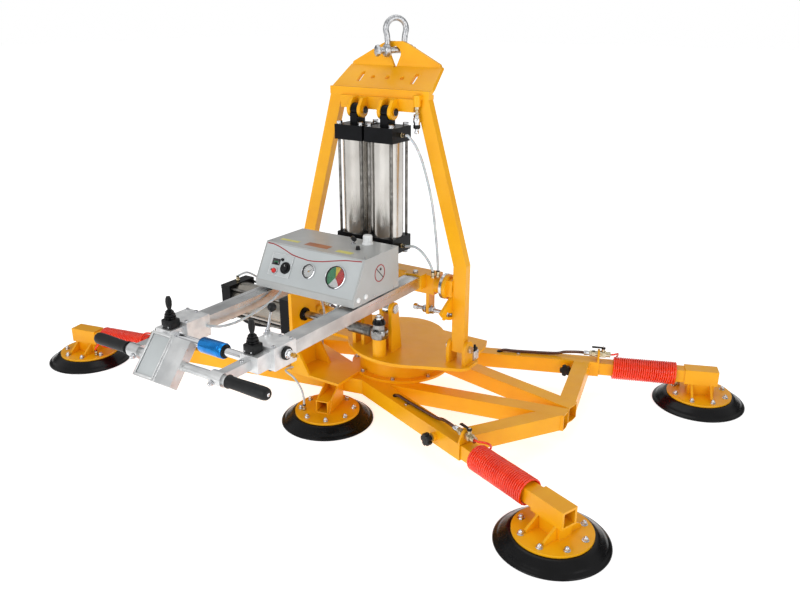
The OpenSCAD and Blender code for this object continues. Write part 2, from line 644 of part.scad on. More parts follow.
// The control box: a folded sheet shell with a sloping front
box_z0 = 604;
box_z1 = 743;
box_y0 = -580;
box_y1 = -515;
box_yb = -328.5;
filter_x = 104;
filter_y = box_yb - 35;
breather_x = 115;
breather_y = box_yb - 105;
module box_profile(g) polygon([
    [box_y0 + g, box_z0 + g], [box_yb - g, box_z0 + g], [box_yb - g, box_z1 - g],
    [box_y1 + g * 0.6, box_z1 - g], [box_y0 + g, box_z0 + 22]
]);
module control_box() color([0.74, 0.77, 0.79]) {
    difference() {
        translate([-box_w / 2, 0, 0]) yz_plate(box_w) box_profile(0);
        translate([-box_w / 2 + 2, 0, 0]) yz_plate(box_w - 4) box_profile(2);
        translate([filter_x, filter_y, box_z1 - 3]) cylinder(d = 30, h = 6);
        translate([breather_x, breather_y, box_z1 - 3]) cylinder(d = 14, h = 6);
    }
    // feet on the beams
    foot_z1 = beam_z + beam_h;
    for (s = [-1, 1]) for (y = [-540, -400])
        translate([s * beam_x - 20, y, foot_z1]) cube([40, 50, box_z0 - foot_z1]);
}
// Vacuum ejector and its manifold inside the box
module ejector() alu() {
    translate([-110, -470, box_z0 + 2]) cube([150, 70, 50]);
    translate([-90, -435, box_z0 + 52]) cylinder(d = 36, h = 50);
    translate([40, -435, box_z0 + 27]) xcyl(70, 34);
    for (x = [-50, -10]) translate([x, -455, box_z0 + 52]) cube([24, 40, 34]);
}
// Valve blocks on the ends of the beams
blk_y0 = -960;
module valve_blocks() alu() for (s = [-1, 1]) mirror([s < 0 ? 1 : 0, 0, 0]) {
    block([122, blk_y0, 545], [216, beam_y0, 612]);
    block([136, blk_y0 - 50, 552], [200, blk_y0, 600]);
    translate([216, -915, 585]) xcyl(9, 36);
    translate([225, -915, 585]) xcyl(14, 18);
    translate([136, blk_y0 - 25, 576]) rotate([0, -90, 0]) cylinder(d = 25, h = 136);
    if (s > 0) translate([135, -895, 612]) cylinder(d = 26, h = 6);
}
module handlebar() alu() {
    translate([-bar_l / 2, bar_y, bar_z]) xcyl(bar_l, 26);
    for (s = [-1, 1]) mirror([s < 0 ? 1 : 0, 0, 0]) {
        difference() {
            translate([140, bar_y, bar_z]) xcyl(42, 40);
            translate([139, bar_y, bar_z]) xcyl(44, 26);
        }
        block([146, bar_y + 14, bar_z - 14], [176, blk_y0 - 50, bar_z + 14]);
    }
}
module grips() black() for (s = [-1, 1]) mirror([s < 0 ? 1 : 0, 0, 0])
    translate([194, bar_y, bar_z]) rotate([0, 90, 0]) difference() {
        rotate_extrude() polygon([[0, 0], [18, 0], [18, 128], [16, 134], [11, 138], [0, 139]]);
        translate([0, 0, -1]) cylinder(d = 26, h = bar_l / 2 - 193);
    }
// Sloping display holder clamped on the handlebar
holder_tilt = 49.6;
module display_holder() alu() translate([-110, bar_y, bar_z]) difference() {
    rotate([holder_tilt, 0, 0]) translate([0, -66, -4]) cube([148, 132, 28.5]);
    translate([-1, 0, 0]) xcyl(150, 26);
    rotate([holder_tilt, 0, 0]) translate([8, -58, 21]) cube([66, 116, 5]);
}
stick_z = 634;      // top of the joystick bases
module joystick_bases() black() for (s = [-1, 1])
    translate([s * 162 - 20, blk_y0 - 44, 600]) cube([40, 40, stick_z - 600]);
module joystick(s) black() translate([s * 162, blk_y0 - 24, stick_z + 5]) {
    cylinder(d1 = 30, d2 = 16, h = 20);
    translate([-17, 0, 0]) xcyl(34, 6);
    translate([0, 0, 20]) cylinder(d = 14, h = 32);
    translate([0, 0, 52]) cylinder(d1 = 14, d2 = 10, h = 5);
}
module joystick_left() joystick(-1);
module joystick_right() joystick(1);
module ball_lever() black() translate([135, -895, 626]) rotate([0, 16, 0]) {
    translate([0, -10, 0]) ycyl(20, 8);
    cylinder(d = 8, h = 72);
    translate([0, 0, 78]) sphere(d = 26);
}
module slide_sleeve() color([0.10, 0.47, 0.76]) translate([-34, blk_y0 - 25, 576]) difference() {
    xcyl(90, 46);
    translate([-1, 0, 0]) xcyl(92, 25.1);
}
module lock_screw() steel() translate([0, mast_y + lock_y, axle_z + lock_z]) {
    translate([150, 0, 0]) xcyl(158, 14);
    translate([150, 0, 0]) rotate([0, 90, 0]) cylinder(d = 24, h = 14, $fn = 6);
}
// Gauges and the display on the sloping panel, the filter and breather on top, plugs at the side
slope = atan2(box_z1 - box_z0 - 22, box_y1 - box_y0);
module on_panel(x, up) {
    translate([x, box_y0, box_z0 + 22]) rotate([slope, 0, 0]) translate([0, up, 0]) children();
}
module stop_button() color([0.85, 0.08, 0.08]) {
    on_panel(-130, 40) translate([0, 0, 4.5]) cylinder(d = 16, h = 9);
}
module box_fittings() color([0.90, 0.91, 0.92]) {
    on_panel(114, 62) cylinder(d = 78, h = 9);
    on_panel(5, 62) cylinder(d = 52, h = 8);
    on_panel(-112, 62) difference() {
        translate([-45, -38, 0]) cube([90, 76, 4]);
        translate([-18, -22, -1]) cylinder(d = 16.2, h = 6);
    }
    translate([filter_x, filter_y, box_z1 - 25]) cylinder(d = 30, h = 56);
    translate([breather_x, breather_y, box_z1 - 20]) cylinder(d = 14, h = 32);
    for (k = [0:1]) translate([box_w / 2, box_y0 + 24 + 40 * k, box_z0 + 20]) xcyl(5, 16);
}

// ---------------------------------------------------------------- vacuum hoses on the lattice
module vacuum_hoses() color([0.36, 0.16, 0.07]) {
    for (k = [1, 2]) at_arm(k)
        hose([[-40, 0, valve_z], [-80, 0, valve_z - 2], [-130, 0, valve_z - 10], [-190, 0, lat_z1 + 7],
              [-300, 0, lat_z1 + 7], [-400, 0, lat_z1 + 7]], 12);
    for (k = [0, 3]) at_arm(k)
        hose([[-40, 0, valve_z], [-80, 0, valve_z - 2], [-130, 0, valve_z - 10], [-190, 0, lat_z1 + 7],
              [-300, 0, lat_z1 + 7]], 12);
}

long_tube_front();
long_tube_rear();
cross_tube_front();
cross_tube_rear();
end_braces();
arm_collars();
ball_valves();
slew_base();
slew_cylinder();
side_brackets();
side_seals();
vacuum_hoses();
arm_front_left();
arm_front_right();
arm_rear_right();
arm_rear_left();
seal_front_left();
seal_front_right();
seal_rear_right();
seal_rear_left();
coil_front_left();
coil_front_right();
coil_rear_right();
coil_rear_left();
knob_front_left();
knob_front_right();
knob_rear_right();
knob_rear_left();
lever_front_left();
lever_front_right();
lever_rear_right();
lever_rear_left();
slew_rod();
turntable();
hinge_bolts();
legs();
lift_plate();
axle_mounts();
air_hoses();
tilt_barrels();
tilt_caps();
tilt_rods();
shackle();
shackle_pin();
beams();
arm_crossbar();
control_box();
ejector();
valve_blocks();
handlebar();
grips();
display_holder();
joystick_left();
joystick_right();
ball_lever();
slide_sleeve();
lock_screw();
joystick_bases();
stop_button();
box_fittings();
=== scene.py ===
"""Looks of a pneumatic vacuum lifter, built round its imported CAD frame.

Each sub-assembly is a class whose fields are its sizes. Shapes are modelled in millimetres on
local axes, and a placing matrix puts them into the lifter's frame, which is in metres: X runs
along the handlebar, Y from the operator to the back, Z up.
"""

import json
import logging
import math
from collections.abc import Callable, Sequence
from dataclasses import dataclass
from enum import Enum

import bpy
from mathutils import Matrix, Vector


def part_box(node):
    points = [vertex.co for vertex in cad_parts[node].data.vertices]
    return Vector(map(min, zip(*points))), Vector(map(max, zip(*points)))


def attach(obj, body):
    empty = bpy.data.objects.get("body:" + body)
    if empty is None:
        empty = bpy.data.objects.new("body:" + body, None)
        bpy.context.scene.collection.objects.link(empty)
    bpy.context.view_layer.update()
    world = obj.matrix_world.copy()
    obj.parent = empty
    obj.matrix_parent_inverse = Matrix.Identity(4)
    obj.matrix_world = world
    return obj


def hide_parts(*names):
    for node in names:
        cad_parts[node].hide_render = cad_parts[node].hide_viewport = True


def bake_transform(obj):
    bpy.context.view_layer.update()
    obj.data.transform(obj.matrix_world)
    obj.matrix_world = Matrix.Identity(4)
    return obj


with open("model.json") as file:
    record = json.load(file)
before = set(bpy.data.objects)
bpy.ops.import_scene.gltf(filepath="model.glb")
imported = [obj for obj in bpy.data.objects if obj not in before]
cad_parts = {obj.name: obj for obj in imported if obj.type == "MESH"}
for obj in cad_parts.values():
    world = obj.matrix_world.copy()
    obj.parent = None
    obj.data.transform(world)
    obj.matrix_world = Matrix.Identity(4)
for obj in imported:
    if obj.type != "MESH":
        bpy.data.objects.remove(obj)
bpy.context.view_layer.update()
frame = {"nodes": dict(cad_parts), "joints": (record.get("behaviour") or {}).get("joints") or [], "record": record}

LOG = logging.getLogger("lifter")
MM = 0.001
TO_METRES = Matrix.Scale(MM, 4)
UP = (0.0, 0.0, 1.0)
DOWN = (0.0, 0.0, -1.0)
AHEAD = (1.0, 0.0, 0.0)
ASIDE = (0.0, 1.0, 0.0)
# A nut's edges are sharper than SHARP degrees; a distance under THIN millimetres counts as none.
SHARP = 25.0
THIN = 1e-3
JOINTS = {joint["name"]: joint for joint in frame["joints"]}
MOUNTS = {mount["name"]: mount for mount in frame["record"]["mounts"]}
ARM_NAMES = ("front_left", "front_right", "rear_right", "rear_left")

Piece = bpy.types.Object
Socket = bpy.types.NodeSocket
Tree = bpy.types.NodeTree
Point = tuple[float, float, float]
Spot = tuple[float, float]
Profile = Sequence[Spot]


class Part(Enum):
    """What an edit-mode selection is made of."""

    VERTICES = "VERT"
    EDGES = "EDGE"
    FACES = "FACE"


class Grain(Enum):
    """How far a finish's fine marks are drawn out along X, Y and Z."""

    EVEN = (1.0, 1.0, 1.0)
    ALONG_X = (0.04, 1.0, 1.0)
    ALONG_Y = (1.0, 0.04, 1.0)
    ALONG_Z = (1.0, 1.0, 0.04)


# ------------------------------------------------------------------ finishes


def linear(hex_colour: str) -> tuple[float, float, float, float]:
    """Turns an sRGB hex value into linear RGBA.

    Args:
        hex_colour: six hex digits, such as "F2A818".

    Returns:
        The four linear values that a shader socket takes.
    """
    values = [int(hex_colour[i : i + 2], 16) / 255 for i in (0, 2, 4)]
    red, green, blue = (v / 12.92 if v <= 0.04045 else ((v + 0.055) / 1.055) ** 2.4 for v in values)
    return red, green, blue, 1.0


def add_node(tree: Tree, kind: str, settings: dict, inputs: dict) -> bpy.types.Node:
    """Adds one shader node with its settings, values and links.

    Args:
        tree: the node tree to add to.
        kind: the node's type name.
        settings: attributes of the node, by name.
        inputs: values or output sockets, by input name or number.

    Returns:
        The new node.
    """
    node = tree.nodes.new(kind)
    for key, value in settings.items():
        setattr(node, key, value)
    for key, value in inputs.items():
        if isinstance(value, Socket):
            tree.links.new(value, node.inputs[key])
        else:
            node.inputs[key].default_value = value
    return node


@dataclass(frozen=True)
class Finish:
    """One real surface: what it is made of and how it was made.

    The colour drifts between dark and light over tone_mm, the grain is a bump of grain_mm and
    grain_depth_mm, the gloss varies over gloss_mm, and the edge colour is a lighter colour mixed in
    along the edges, partly wear and partly a painted highlight.
    """

    name: str
    light: str
    dark: str
    tone_mm: float = 90.0
    metallic: float = 0.0
    roughness: float = 0.4
    gloss_spread: float = 0.06
    gloss_mm: float = 35.0
    grain_mm: float = 1.5
    grain_depth_mm: float = 0.03
    grain: Grain = Grain.EVEN
    edge_mm: float = 0.0
    edge_wear_and_highlight: str = ""
    coat: float = 0.0
    coat_roughness: float = 0.08
    ior: float = 1.5
    inner_glow: float = 0.0

    def colour(self, tree: Tree, where: Socket) -> Socket:
        """Returns the socket of the drifting base colour."""
        drift = add_node(tree, "ShaderNodeTexNoise", {},
                         {"Vector": where, "Scale": 1 / (self.tone_mm * MM), "Detail": 4.0})
        spread = add_node(tree, "ShaderNodeMapRange", {},
                          {"Value": drift.outputs[0], "From Min": 0.35, "From Max": 0.65})
        return add_node(tree, "ShaderNodeMix", {"data_type": "RGBA"},
                        {0: spread.outputs[0], 6: linear(self.dark), 7: linear(self.light)}).outputs[2]

    def rubbed_and_highlit(self, tree: Tree, rounded: bpy.types.Node, colour: Socket) -> Socket:
        """Returns the base colour made lighter along the edges: partly wear and thinner paint, partly a painted
        edge highlight.
        """
        flat = add_node(tree, "ShaderNodeNewGeometry", {}, {})
        facing = add_node(tree, "ShaderNodeVectorMath", {"operation": "DOT_PRODUCT"},
                          {0: rounded.outputs[0], 1: flat.outputs["Normal"]})
        # Edge mask where the rounded normal leans away from the flat one: it places the wear and the painted edge
        # highlight.
        edge = add_node(tree, "ShaderNodeMapRange", {},
                        {"Value": facing.outputs["Value"], "From Min": 0.98, "From Max": 0.86,
                         "To Max": 0.55})
        return add_node(tree, "ShaderNodeMix", {"data_type": "RGBA"},
                        {0: edge.outputs[0], 6: colour, 7: linear(self.edge_wear_and_highlight)}).outputs[2]

    def build(self) -> bpy.types.Material:
        """Makes the material."""
        material = bpy.data.materials.new(self.name)
        material.use_nodes = True
        tree = material.node_tree
        shader = tree.nodes["Principled BSDF"]
        where = add_node(tree, "ShaderNodeTexCoord", {}, {}).outputs["Object"]
        drawn = add_node(tree, "ShaderNodeMapping", {}, {"Vector": where, "Scale": self.grain.value})
        colour = self.colour(tree, where)
        marks = add_node(tree, "ShaderNodeTexNoise", {},
                         {"Vector": drawn.outputs[0], "Scale": 1 / (self.grain_mm * MM), "Detail": 3.0})
        bump = add_node(tree, "ShaderNodeBump", {},
                        {"Height": marks.outputs[0], "Distance": self.grain_depth_mm * MM,
                         "Strength": 1.0})
        if self.edge_mm:
            rounded = add_node(tree, "ShaderNodeBevel", {"samples": 4}, {"Radius": self.edge_mm * MM})
            tree.links.new(rounded.outputs[0], bump.inputs["Normal"])
            # Edges turn lighter: partly wear, partly a painted highlight.
            if self.edge_wear_and_highlight:
                colour = self.rubbed_and_highlit(tree, rounded, colour)
        cloud = add_node(tree, "ShaderNodeTexNoise", {},
                         {"Vector": drawn.outputs[0], "Scale": 1 / (self.gloss_mm * MM), "Detail": 3.0})
        gloss = add_node(tree, "ShaderNodeMapRange", {},
                         {"Value": cloud.outputs[0], "From Min": 0.3, "From Max": 0.7,
                          "To Min": max(self.roughness - self.gloss_spread, 0.02),
                          "To Max": self.roughness + self.gloss_spread})
        tree.links.new(colour, shader.inputs["Base Color"])
        tree.links.new(gloss.outputs[0], shader.inputs["Roughness"])
        tree.links.new(bump.outputs[0], shader.inputs["Normal"])
        shader.inputs["Metallic"].default_value = self.metallic
        shader.inputs["Coat Weight"].default_value = self.coat
        shader.inputs["Coat Roughness"].default_value = self.coat_roughness
        shader.inputs["IOR"].default_value = self.ior
        if self.inner_glow:
            shader.inputs["Subsurface Weight"].default_value = self.inner_glow
            shader.inputs["Subsurface Radius"].default_value = (0.006, 0.002, 0.001)
        return material


@dataclass(frozen=True)
class Metal(Finish):
    """A bare metal, with fine marks from drawing, turning or grinding."""

    metallic: float = 1.0
    grain_mm: float = 0.8
    grain_depth_mm: float = 0.02


# Powder-coated steel: polyester powder baked on, a soft gloss with an orange-peel skin of about
# 4 mm, and a lighter colour along sharp edges, partly the thinner film there and partly a painted highlight.
YELLOW_COAT = Finish("yellow_powder_coat", "F5B008", "EDA304", tone_mm=160, roughness=0.36,
                     grain_mm=4.0, grain_depth_mm=0.10, edge_mm=1.6, ior=1.38, edge_wear_and_highlight="FBC53E", coat=0.05)
# Nitrile rubber, moulded against a polished tool: deep black with a wet gloss and a faint bloom.
CUP_RUBBER = Finish("moulded_nitrile_rubber", "0B0B0D", "050506", tone_mm=40, roughness=0.24,
                    gloss_spread=0.08, grain_mm=6.0, grain_depth_mm=0.05, ior=1.27)
# Glass-filled nylon mouldings: black with a fine spark-eroded grain.
BLACK_NYLON = Finish("spark_eroded_black_nylon", "101113", "08090A", tone_mm=25, roughness=0.38,
                     grain_mm=0.8, grain_depth_mm=0.05, edge_mm=0.8, edge_wear_and_highlight="222325", ior=1.33)
# Soft thermoplastic grips: matt black, a little dusty.
GRIP_RUBBER = Finish("soft_grip_rubber", "161719", "0D0E0F", tone_mm=30, roughness=0.50, grain_mm=1.0,
                     grain_depth_mm=0.08, ior=1.33)
# Black anodised and painted cylinder caps: die-cast, satin.
CAP_BLACK = Finish("black_cast_caps", "0C0D11", "060709", tone_mm=50, roughness=0.34, grain_mm=1.2,
                   grain_depth_mm=0.06, edge_mm=1.2, edge_wear_and_highlight="222428", ior=1.22)
# Extruded, clear-anodised aluminium, drawn along its length.
ALU_ALONG_Y = Metal("anodised_beam", "D3D4D4", "B9BABB", tone_mm=70, roughness=0.30, gloss_spread=0.10,
                    grain_mm=0.7, grain=Grain.ALONG_Y, edge_mm=0.8, edge_wear_and_highlight="F2F2F2")
ALU_ALONG_X = Metal("drawn_tube", "DADBDB", "C2C4C5", tone_mm=60, roughness=0.34, gloss_spread=0.08,
                    grain=Grain.ALONG_X)
ALU_BARREL = Metal("honed_barrel", "C9C6C1", "B3AFA9", tone_mm=120, roughness=0.24, gloss_spread=0.05,
                   grain_mm=0.6, grain_depth_mm=0.006, grain=Grain.ALONG_Z)
# Machined and bead-blasted aluminium blocks: almost white, with an even fine tooth.
ALU_BLASTED = Finish("blasted_blocks", "E6E7E7", "D2D3D4", tone_mm=30, metallic=0.75, roughness=0.42,
                     gloss_spread=0.06, grain_mm=0.9, grain_depth_mm=0.05, edge_mm=0.8, edge_wear_and_highlight="FFFFFF")
# Folded sheet for the box: light grey structure powder coat.
BOX_COAT = Finish("grey_powder_coat", "AEB0AF", "A4A6A5", tone_mm=120, roughness=0.40, grain_mm=1.6,
                  grain_depth_mm=0.05, edge_mm=1.2, edge_wear_and_highlight="D5DADC", coat=0.15)
PANEL_FOIL = Finish("panel_foil", "BBC0C1", "B3B8B9", tone_mm=150, roughness=0.34, grain_mm=0.9,
                    grain_depth_mm=0.02)
# Zinc-plated and chromed steel: bright, with turning marks.
BRIGHT_STEEL = Metal("zinc_plated_steel", "D6D7D9", "B4B5B8", tone_mm=12, roughness=0.22,
                     gloss_spread=0.08)
CHROME = Metal("hard_chromed_rod", "E4E5E7", "D2D3D6", tone_mm=50, roughness=0.09, gloss_spread=0.04,
               grain_depth_mm=0.004)
# Hot-dip galvanised forging: a dull grey with lighter and darker crystals of about 6 mm.
GALVANISED = Finish("galvanised_forging", "C9CACC", "8F9194", tone_mm=7, metallic=0.9, roughness=0.36,
                    gloss_spread=0.12, gloss_mm=7, grain_mm=3.0, grain_depth_mm=0.12)
# Ground steel tie rods and the rod end's sleeve: oiled, much darker than chrome.
DARK_STEEL = Metal("oiled_ground_steel", "8C8A86", "5F5D5A", tone_mm=18, roughness=0.34,
                   gloss_spread=0.10)
# Turned and polished ball housing and its rod, less bright than chrome.
POLISHED_STEEL = Metal("polished_turned_steel", "A3A2A0", "7F7E7C", tone_mm=20, roughness=0.20,
                       gloss_spread=0.08, grain_mm=0.7, grain_depth_mm=0.01)
# Satin aluminium barrel of the slewing cylinder, brushed round by handling.
SLEW_BARREL = Metal("satin_slew_barrel", "A39E96", "8B867E", tone_mm=90, roughness=0.30,
                    gloss_spread=0.08, grain_depth_mm=0.015, grain=Grain.ALONG_X)
# Nickel-plated brass fittings.
NICKEL_BRASS = Metal("nickel_plated_brass", "CFC6AE", "AE9C74", tone_mm=9, roughness=0.24,
                     gloss_spread=0.07, grain_mm=0.7)
BRASS = Metal("bare_brass", "C79A4A", "A87832", tone_mm=10, roughness=0.28, grain_mm=0.7)
# Coiled polyurethane hose: translucent orange-red with a wet shine.
ORANGE_HOSE = Finish("coiled_polyurethane", "FA3A00", "EC2C00", tone_mm=60, roughness=0.20,
                     grain_mm=3.0, grain_depth_mm=0.02, coat=0.3, ior=1.49, inner_glow=0.12)
# Brown nylon vacuum hose and clear air hose.
BROWN_HOSE = Finish("brown_nylon_hose", "5A2A12", "3A180A", tone_mm=30, roughness=0.28, grain_mm=2.0,
                    grain_depth_mm=0.03, coat=0.3)
CLEAR_HOSE = Finish("clear_air_hose", "C8CDD0", "AEB4B8", tone_mm=25, roughness=0.18, grain_mm=2.0,
                    grain_depth_mm=0.02, coat=0.5, ior=1.45, inner_glow=0.2)
# Blue anodised sleeve, turned and polished.
BLUE_SLEEVE = Finish("blue_anodised_sleeve", "1C86D6", "0F6CB8", tone_mm=30, metallic=0.85,
                     roughness=0.24, grain_mm=0.8, grain_depth_mm=0.02)
RED_ABS = Finish("red_moulding", "D8201C", "C01612", tone_mm=20, roughness=0.22, grain_mm=1.0,
                 grain_depth_mm=0.02, coat=0.4)
WHITE_ABS = Finish("white_moulding", "F1F2F2", "E2E4E4", tone_mm=20, roughness=0.28, grain_mm=1.0,
                   grain_depth_mm=0.02, coat=0.2)
GREEN_INK = Finish("green_dial_ink", "17965C", "128650", roughness=0.45, tone_mm=20)
YELLOW_INK = Finish("yellow_dial_ink", "F3D21A", "E8C40F", roughness=0.45, tone_mm=20)
RED_LINE = Finish("dark_red_film", "A32A2C", "932124", roughness=0.35, tone_mm=40)
BLACK_INK = Finish("black_ink", "1A1A1C", "111113", roughness=0.45, tone_mm=20)
# Blank stickers on the lid: a pale yellow and a brushed copper-brown film.
PALE_YELLOW = Finish("pale_yellow_sticker", "D9D47A", "CFC968", roughness=0.4, tone_mm=30)
COPPER_FOIL = Finish("copper_brown_sticker", "A86A4A", "9A5C3E", roughness=0.4, tone_mm=30)
DARK_LENS = Finish("smoked_display_window", "101418", "080A0C", roughness=0.08, gloss_spread=0.03,
                   tone_mm=20, coat=0.8)


@dataclass(frozen=True)
class Lens:
    """Clear gauge glass: thin, flat and polished."""

    name: str = "gauge_glass"
    roughness: float = 0.02

    def build(self) -> bpy.types.Material:
        """Makes a pane that lets light straight through and adds its own reflection."""
        material = bpy.data.materials.new(self.name)
        material.use_nodes = True
        tree = material.node_tree
        tree.nodes.remove(tree.nodes["Principled BSDF"])
        where = add_node(tree, "ShaderNodeTexCoord", {}, {}).outputs["Object"]
        smear = add_node(tree, "ShaderNodeTexNoise", {}, {"Vector": where, "Scale": 60.0})
        rough = add_node(tree, "ShaderNodeMapRange", {},
                         {"Value": smear.outputs[0], "To Min": self.roughness,
                          "To Max": self.roughness * 4})
        gloss = add_node(tree, "ShaderNodeBsdfGlossy", {}, {"Roughness": rough.outputs[0]})
        clear = add_node(tree, "ShaderNodeBsdfTransparent", {}, {})
        facing = add_node(tree, "ShaderNodeFresnel", {}, {"IOR": 1.5})
        mixed = add_node(tree, "ShaderNodeMixShader", {},
                         {0: facing.outputs[0], 1: clear.outputs[0], 2: gloss.outputs[0]})
        tree.links.new(mixed.outputs[0], tree.nodes["Material Output"].inputs["Surface"])
        return material


class Paintbox:
    """Makes each finish once and gives it out."""

    def __init__(self) -> None:
        """Starts with no material made."""
        self.made: dict[str, bpy.types.Material] = {}

    def material(self, finish: Finish | Lens) -> bpy.types.Material:
        """Returns the finish's material, made at its first use."""
        if finish.name not in self.made:
            self.made[finish.name] = finish.build()
        return self.made[finish.name]

    def coat(self, obj: Piece, finish: Finish | Lens) -> Piece:
        """Gives an object one finish all over."""
        obj.data.materials.clear()
        obj.data.materials.append(self.material(finish))
        return obj


PAINT = Paintbox()


# ------------------------------------------------------------------ modelling shapes


def stand(origin: Point, up: Point = UP, ahead: Point = AHEAD) -> Matrix:
    """Returns the matrix that puts a local shape in millimetres into the lifter's frame.

    Args:
        origin: where the local origin goes, in millimetres.
        up: where local Z points.
        ahead: roughly where local X points.
    """
    z = Vector(up).normalized()
    x = Vector(ahead)
    x = (x - x.dot(z) * z).normalized()
    turn = Matrix((x, z.cross(x), z)).transposed().to_4x4()
    return Matrix.Translation(Vector(origin) * MM) @ TO_METRES @ turn


def local(origin: Point, up: Point = UP, ahead: Point = AHEAD) -> Matrix:
    """Returns a placing inside another local frame, all in millimetres."""
    place = stand(origin, up, ahead)
    return Matrix.Scale(1 / MM, 4) @ place


def shift(x: float, y: float, z: float) -> Matrix:
    """Returns the matrix of a plain move."""
    return Matrix.Translation((x, y, z))


def at_mark(mark: Point) -> Point:
    """Turns a point of the frame from metres into millimetres."""
    return tuple(value / MM for value in mark)


def deselect() -> None:
    """Leaves edit mode and clears the selection."""
    if bpy.context.object and bpy.context.object.mode != "OBJECT":
        bpy.ops.object.mode_set(mode="OBJECT")
    bpy.ops.object.select_all(action="DESELECT")


def pick(obj: Piece) -> None:
    """Makes an object the active one and the only one selected."""
    deselect()
    bpy.context.view_layer.objects.active = obj
    obj.select_set(True)


def select_parts(obj: Piece, part: Part, test: Callable[[Vector], bool]) -> None:
    """Opens an object in edit mode with some of its parts selected.

    Args:
        obj: the object.
        part: what is selected.
        test: says of a part's middle whether it is taken; an edge's two ends must both pass.
    """
    pick(obj)
    mesh = obj.data
    for group in (mesh.vertices, mesh.edges, mesh.polygons):
        group.foreach_set("select", [False] * len(group))
    bpy.context.tool_settings.mesh_select_mode = tuple(part is kind for kind in Part)
    if part is Part.VERTICES:
        for vertex in mesh.vertices:
            vertex.select = test(vertex.co)
    elif part is Part.EDGES:
        for edge in mesh.edges:
            edge.select = all(test(mesh.vertices[i].co) for i in edge.vertices)
    else:
        for face in mesh.polygons:
            face.select = test(face.center)
    bpy.ops.object.mode_set(mode="EDIT")


def settle(obj: Piece) -> Piece:
    """Applies an object's own place, turn and size to its mesh."""
    pick(obj)
    bpy.ops.object.transform_apply(location=True, rotation=True, scale=True)
    return obj


def soften(obj: Piece, degrees: float = 35.0) -> Piece:
    """Shades an object smooth, keeping edges sharper than the angle."""
    pick(obj)
    bpy.ops.object.shade_smooth_by_angle(angle=math.radians(degrees))
    return obj


def round_edges(obj: Piece, width: float, test: Callable[[Vector], bool], segments: int = 2) -> Piece:
    """Bevels the edges whose ends both pass the test."""
    select_parts(obj, Part.EDGES, test)
    bpy.ops.mesh.bevel(offset=width, segments=segments, affect="EDGES", clamp_overlap=True)
    bpy.ops.object.mode_set(mode="OBJECT")
    return obj


def rod(radius: float, length: float, rim: float = 0.6, sides: int = 32) -> Piece:
    """Makes a round bar from Z 0 up, with rounded rims.

    Args:
        radius: its radius.
        length: its length along Z.
        rim: the width of the rounding on both ends.
        sides: how many flats it has; 6 makes a hexagon bar.
    """
    deselect()
    bpy.ops.mesh.primitive_cylinder_add(vertices=sides, radius=radius, depth=length,
                                        location=(0, 0, length / 2))
    obj = settle(bpy.context.object)
    for end in (0.0, length):
        round_edges(obj, rim, lambda v, z=end: abs(v.z - z) < THIN)
    return obj


def slab(low: Point, high: Point, edge: float = 1.0, segments: int = 2) -> Piece:
    """Makes a box between two corners with all its edges rounded."""
    deselect()
    bpy.ops.mesh.primitive_cube_add(size=1, location=[(a + b) / 2 for a, b in zip(low, high)],
                                    scale=[b - a for a, b in zip(low, high)])
    obj = settle(bpy.context.object)
    return round_edges(obj, edge, lambda v: True, segments)


def turned(profile: Profile, steps: int = 48, closed: bool = False) -> Piece:
    """Makes a turned body by drawing a profile and spinning it round Z.

    Args:
        profile: points as radius and height; a body's ends lie on the axis.
        steps: how many steps the full turn has.
        closed: whether the last point joins the first, as on a ring.

    Returns:
        The body, with its normals outwards.
    """
    deselect()
    bpy.context.tool_settings.mesh_select_mode = (True, False, False)
    bpy.ops.mesh.primitive_plane_add(size=1)
    obj = bpy.context.object
    bpy.ops.object.mode_set(mode="EDIT")
    bpy.ops.mesh.select_all(action="SELECT")
    bpy.ops.mesh.merge(type="CENTER")
    bpy.ops.transform.translate(value=(profile[0][0], 0, profile[0][1]))
    path = list(profile) + ([profile[0]] if closed else [])
    for (r0, z0), (r1, z1) in zip(path, path[1:]):
        bpy.ops.mesh.extrude_region_move(TRANSFORM_OT_translate={"value": (r1 - r0, 0, z1 - z0)})
    bpy.ops.mesh.select_all(action="SELECT")
    bpy.ops.mesh.remove_doubles(threshold=THIN)
    bpy.ops.mesh.select_all(action="SELECT")
    bpy.ops.mesh.spin(steps=steps, angle=math.tau, center=(0, 0, 0), axis=UP)
    bpy.ops.mesh.select_all(action="SELECT")
    bpy.ops.mesh.remove_doubles(threshold=1e-2)
    bpy.ops.mesh.normals_make_consistent(inside=False)
    bpy.ops.object.mode_set(mode="OBJECT")
    return soften(obj)


def smooth_path(points: Sequence[Point], finer: int = 6) -> list[Vector]:
    """Returns a smooth curve through the points, finer times as dense."""
    marks = [Vector(p) for p in points]
    marks = [2 * marks[0] - marks[1], *marks, 2 * marks[-1] - marks[-2]]
    path = []
    for a, b, c, d in zip(marks, marks[1:], marks[2:], marks[3:]):
        for k in range(finer):
            t = k / finer
            path.append(0.5 * (2 * b + (c - a) * t + (2 * a - 5 * b + 4 * c - d) * t * t
                               + (3 * b - a - 3 * c + d) * t ** 3))
    return [*path, marks[-2]]


def pipe(path: Sequence[Vector], radius: float, fineness: int = 3) -> Piece:
    """Makes a round hose or wire along a path, with closed ends."""
    curve = bpy.data.curves.new("hose", "CURVE")
    curve.dimensions = "3D"
    curve.bevel_depth = radius
    curve.bevel_resolution = fineness
    curve.use_fill_caps = True
    spline = curve.splines.new("POLY")
    spline.points.add(len(path) - 1)
    for mark, point in zip(spline.points, path):
        mark.co = (*point, 1.0)
    obj = bpy.data.objects.new("hose", curve)
    bpy.context.scene.collection.objects.link(obj)
    pick(obj)
    bpy.ops.object.convert(target="MESH")
    return soften(bpy.context.object, 60)


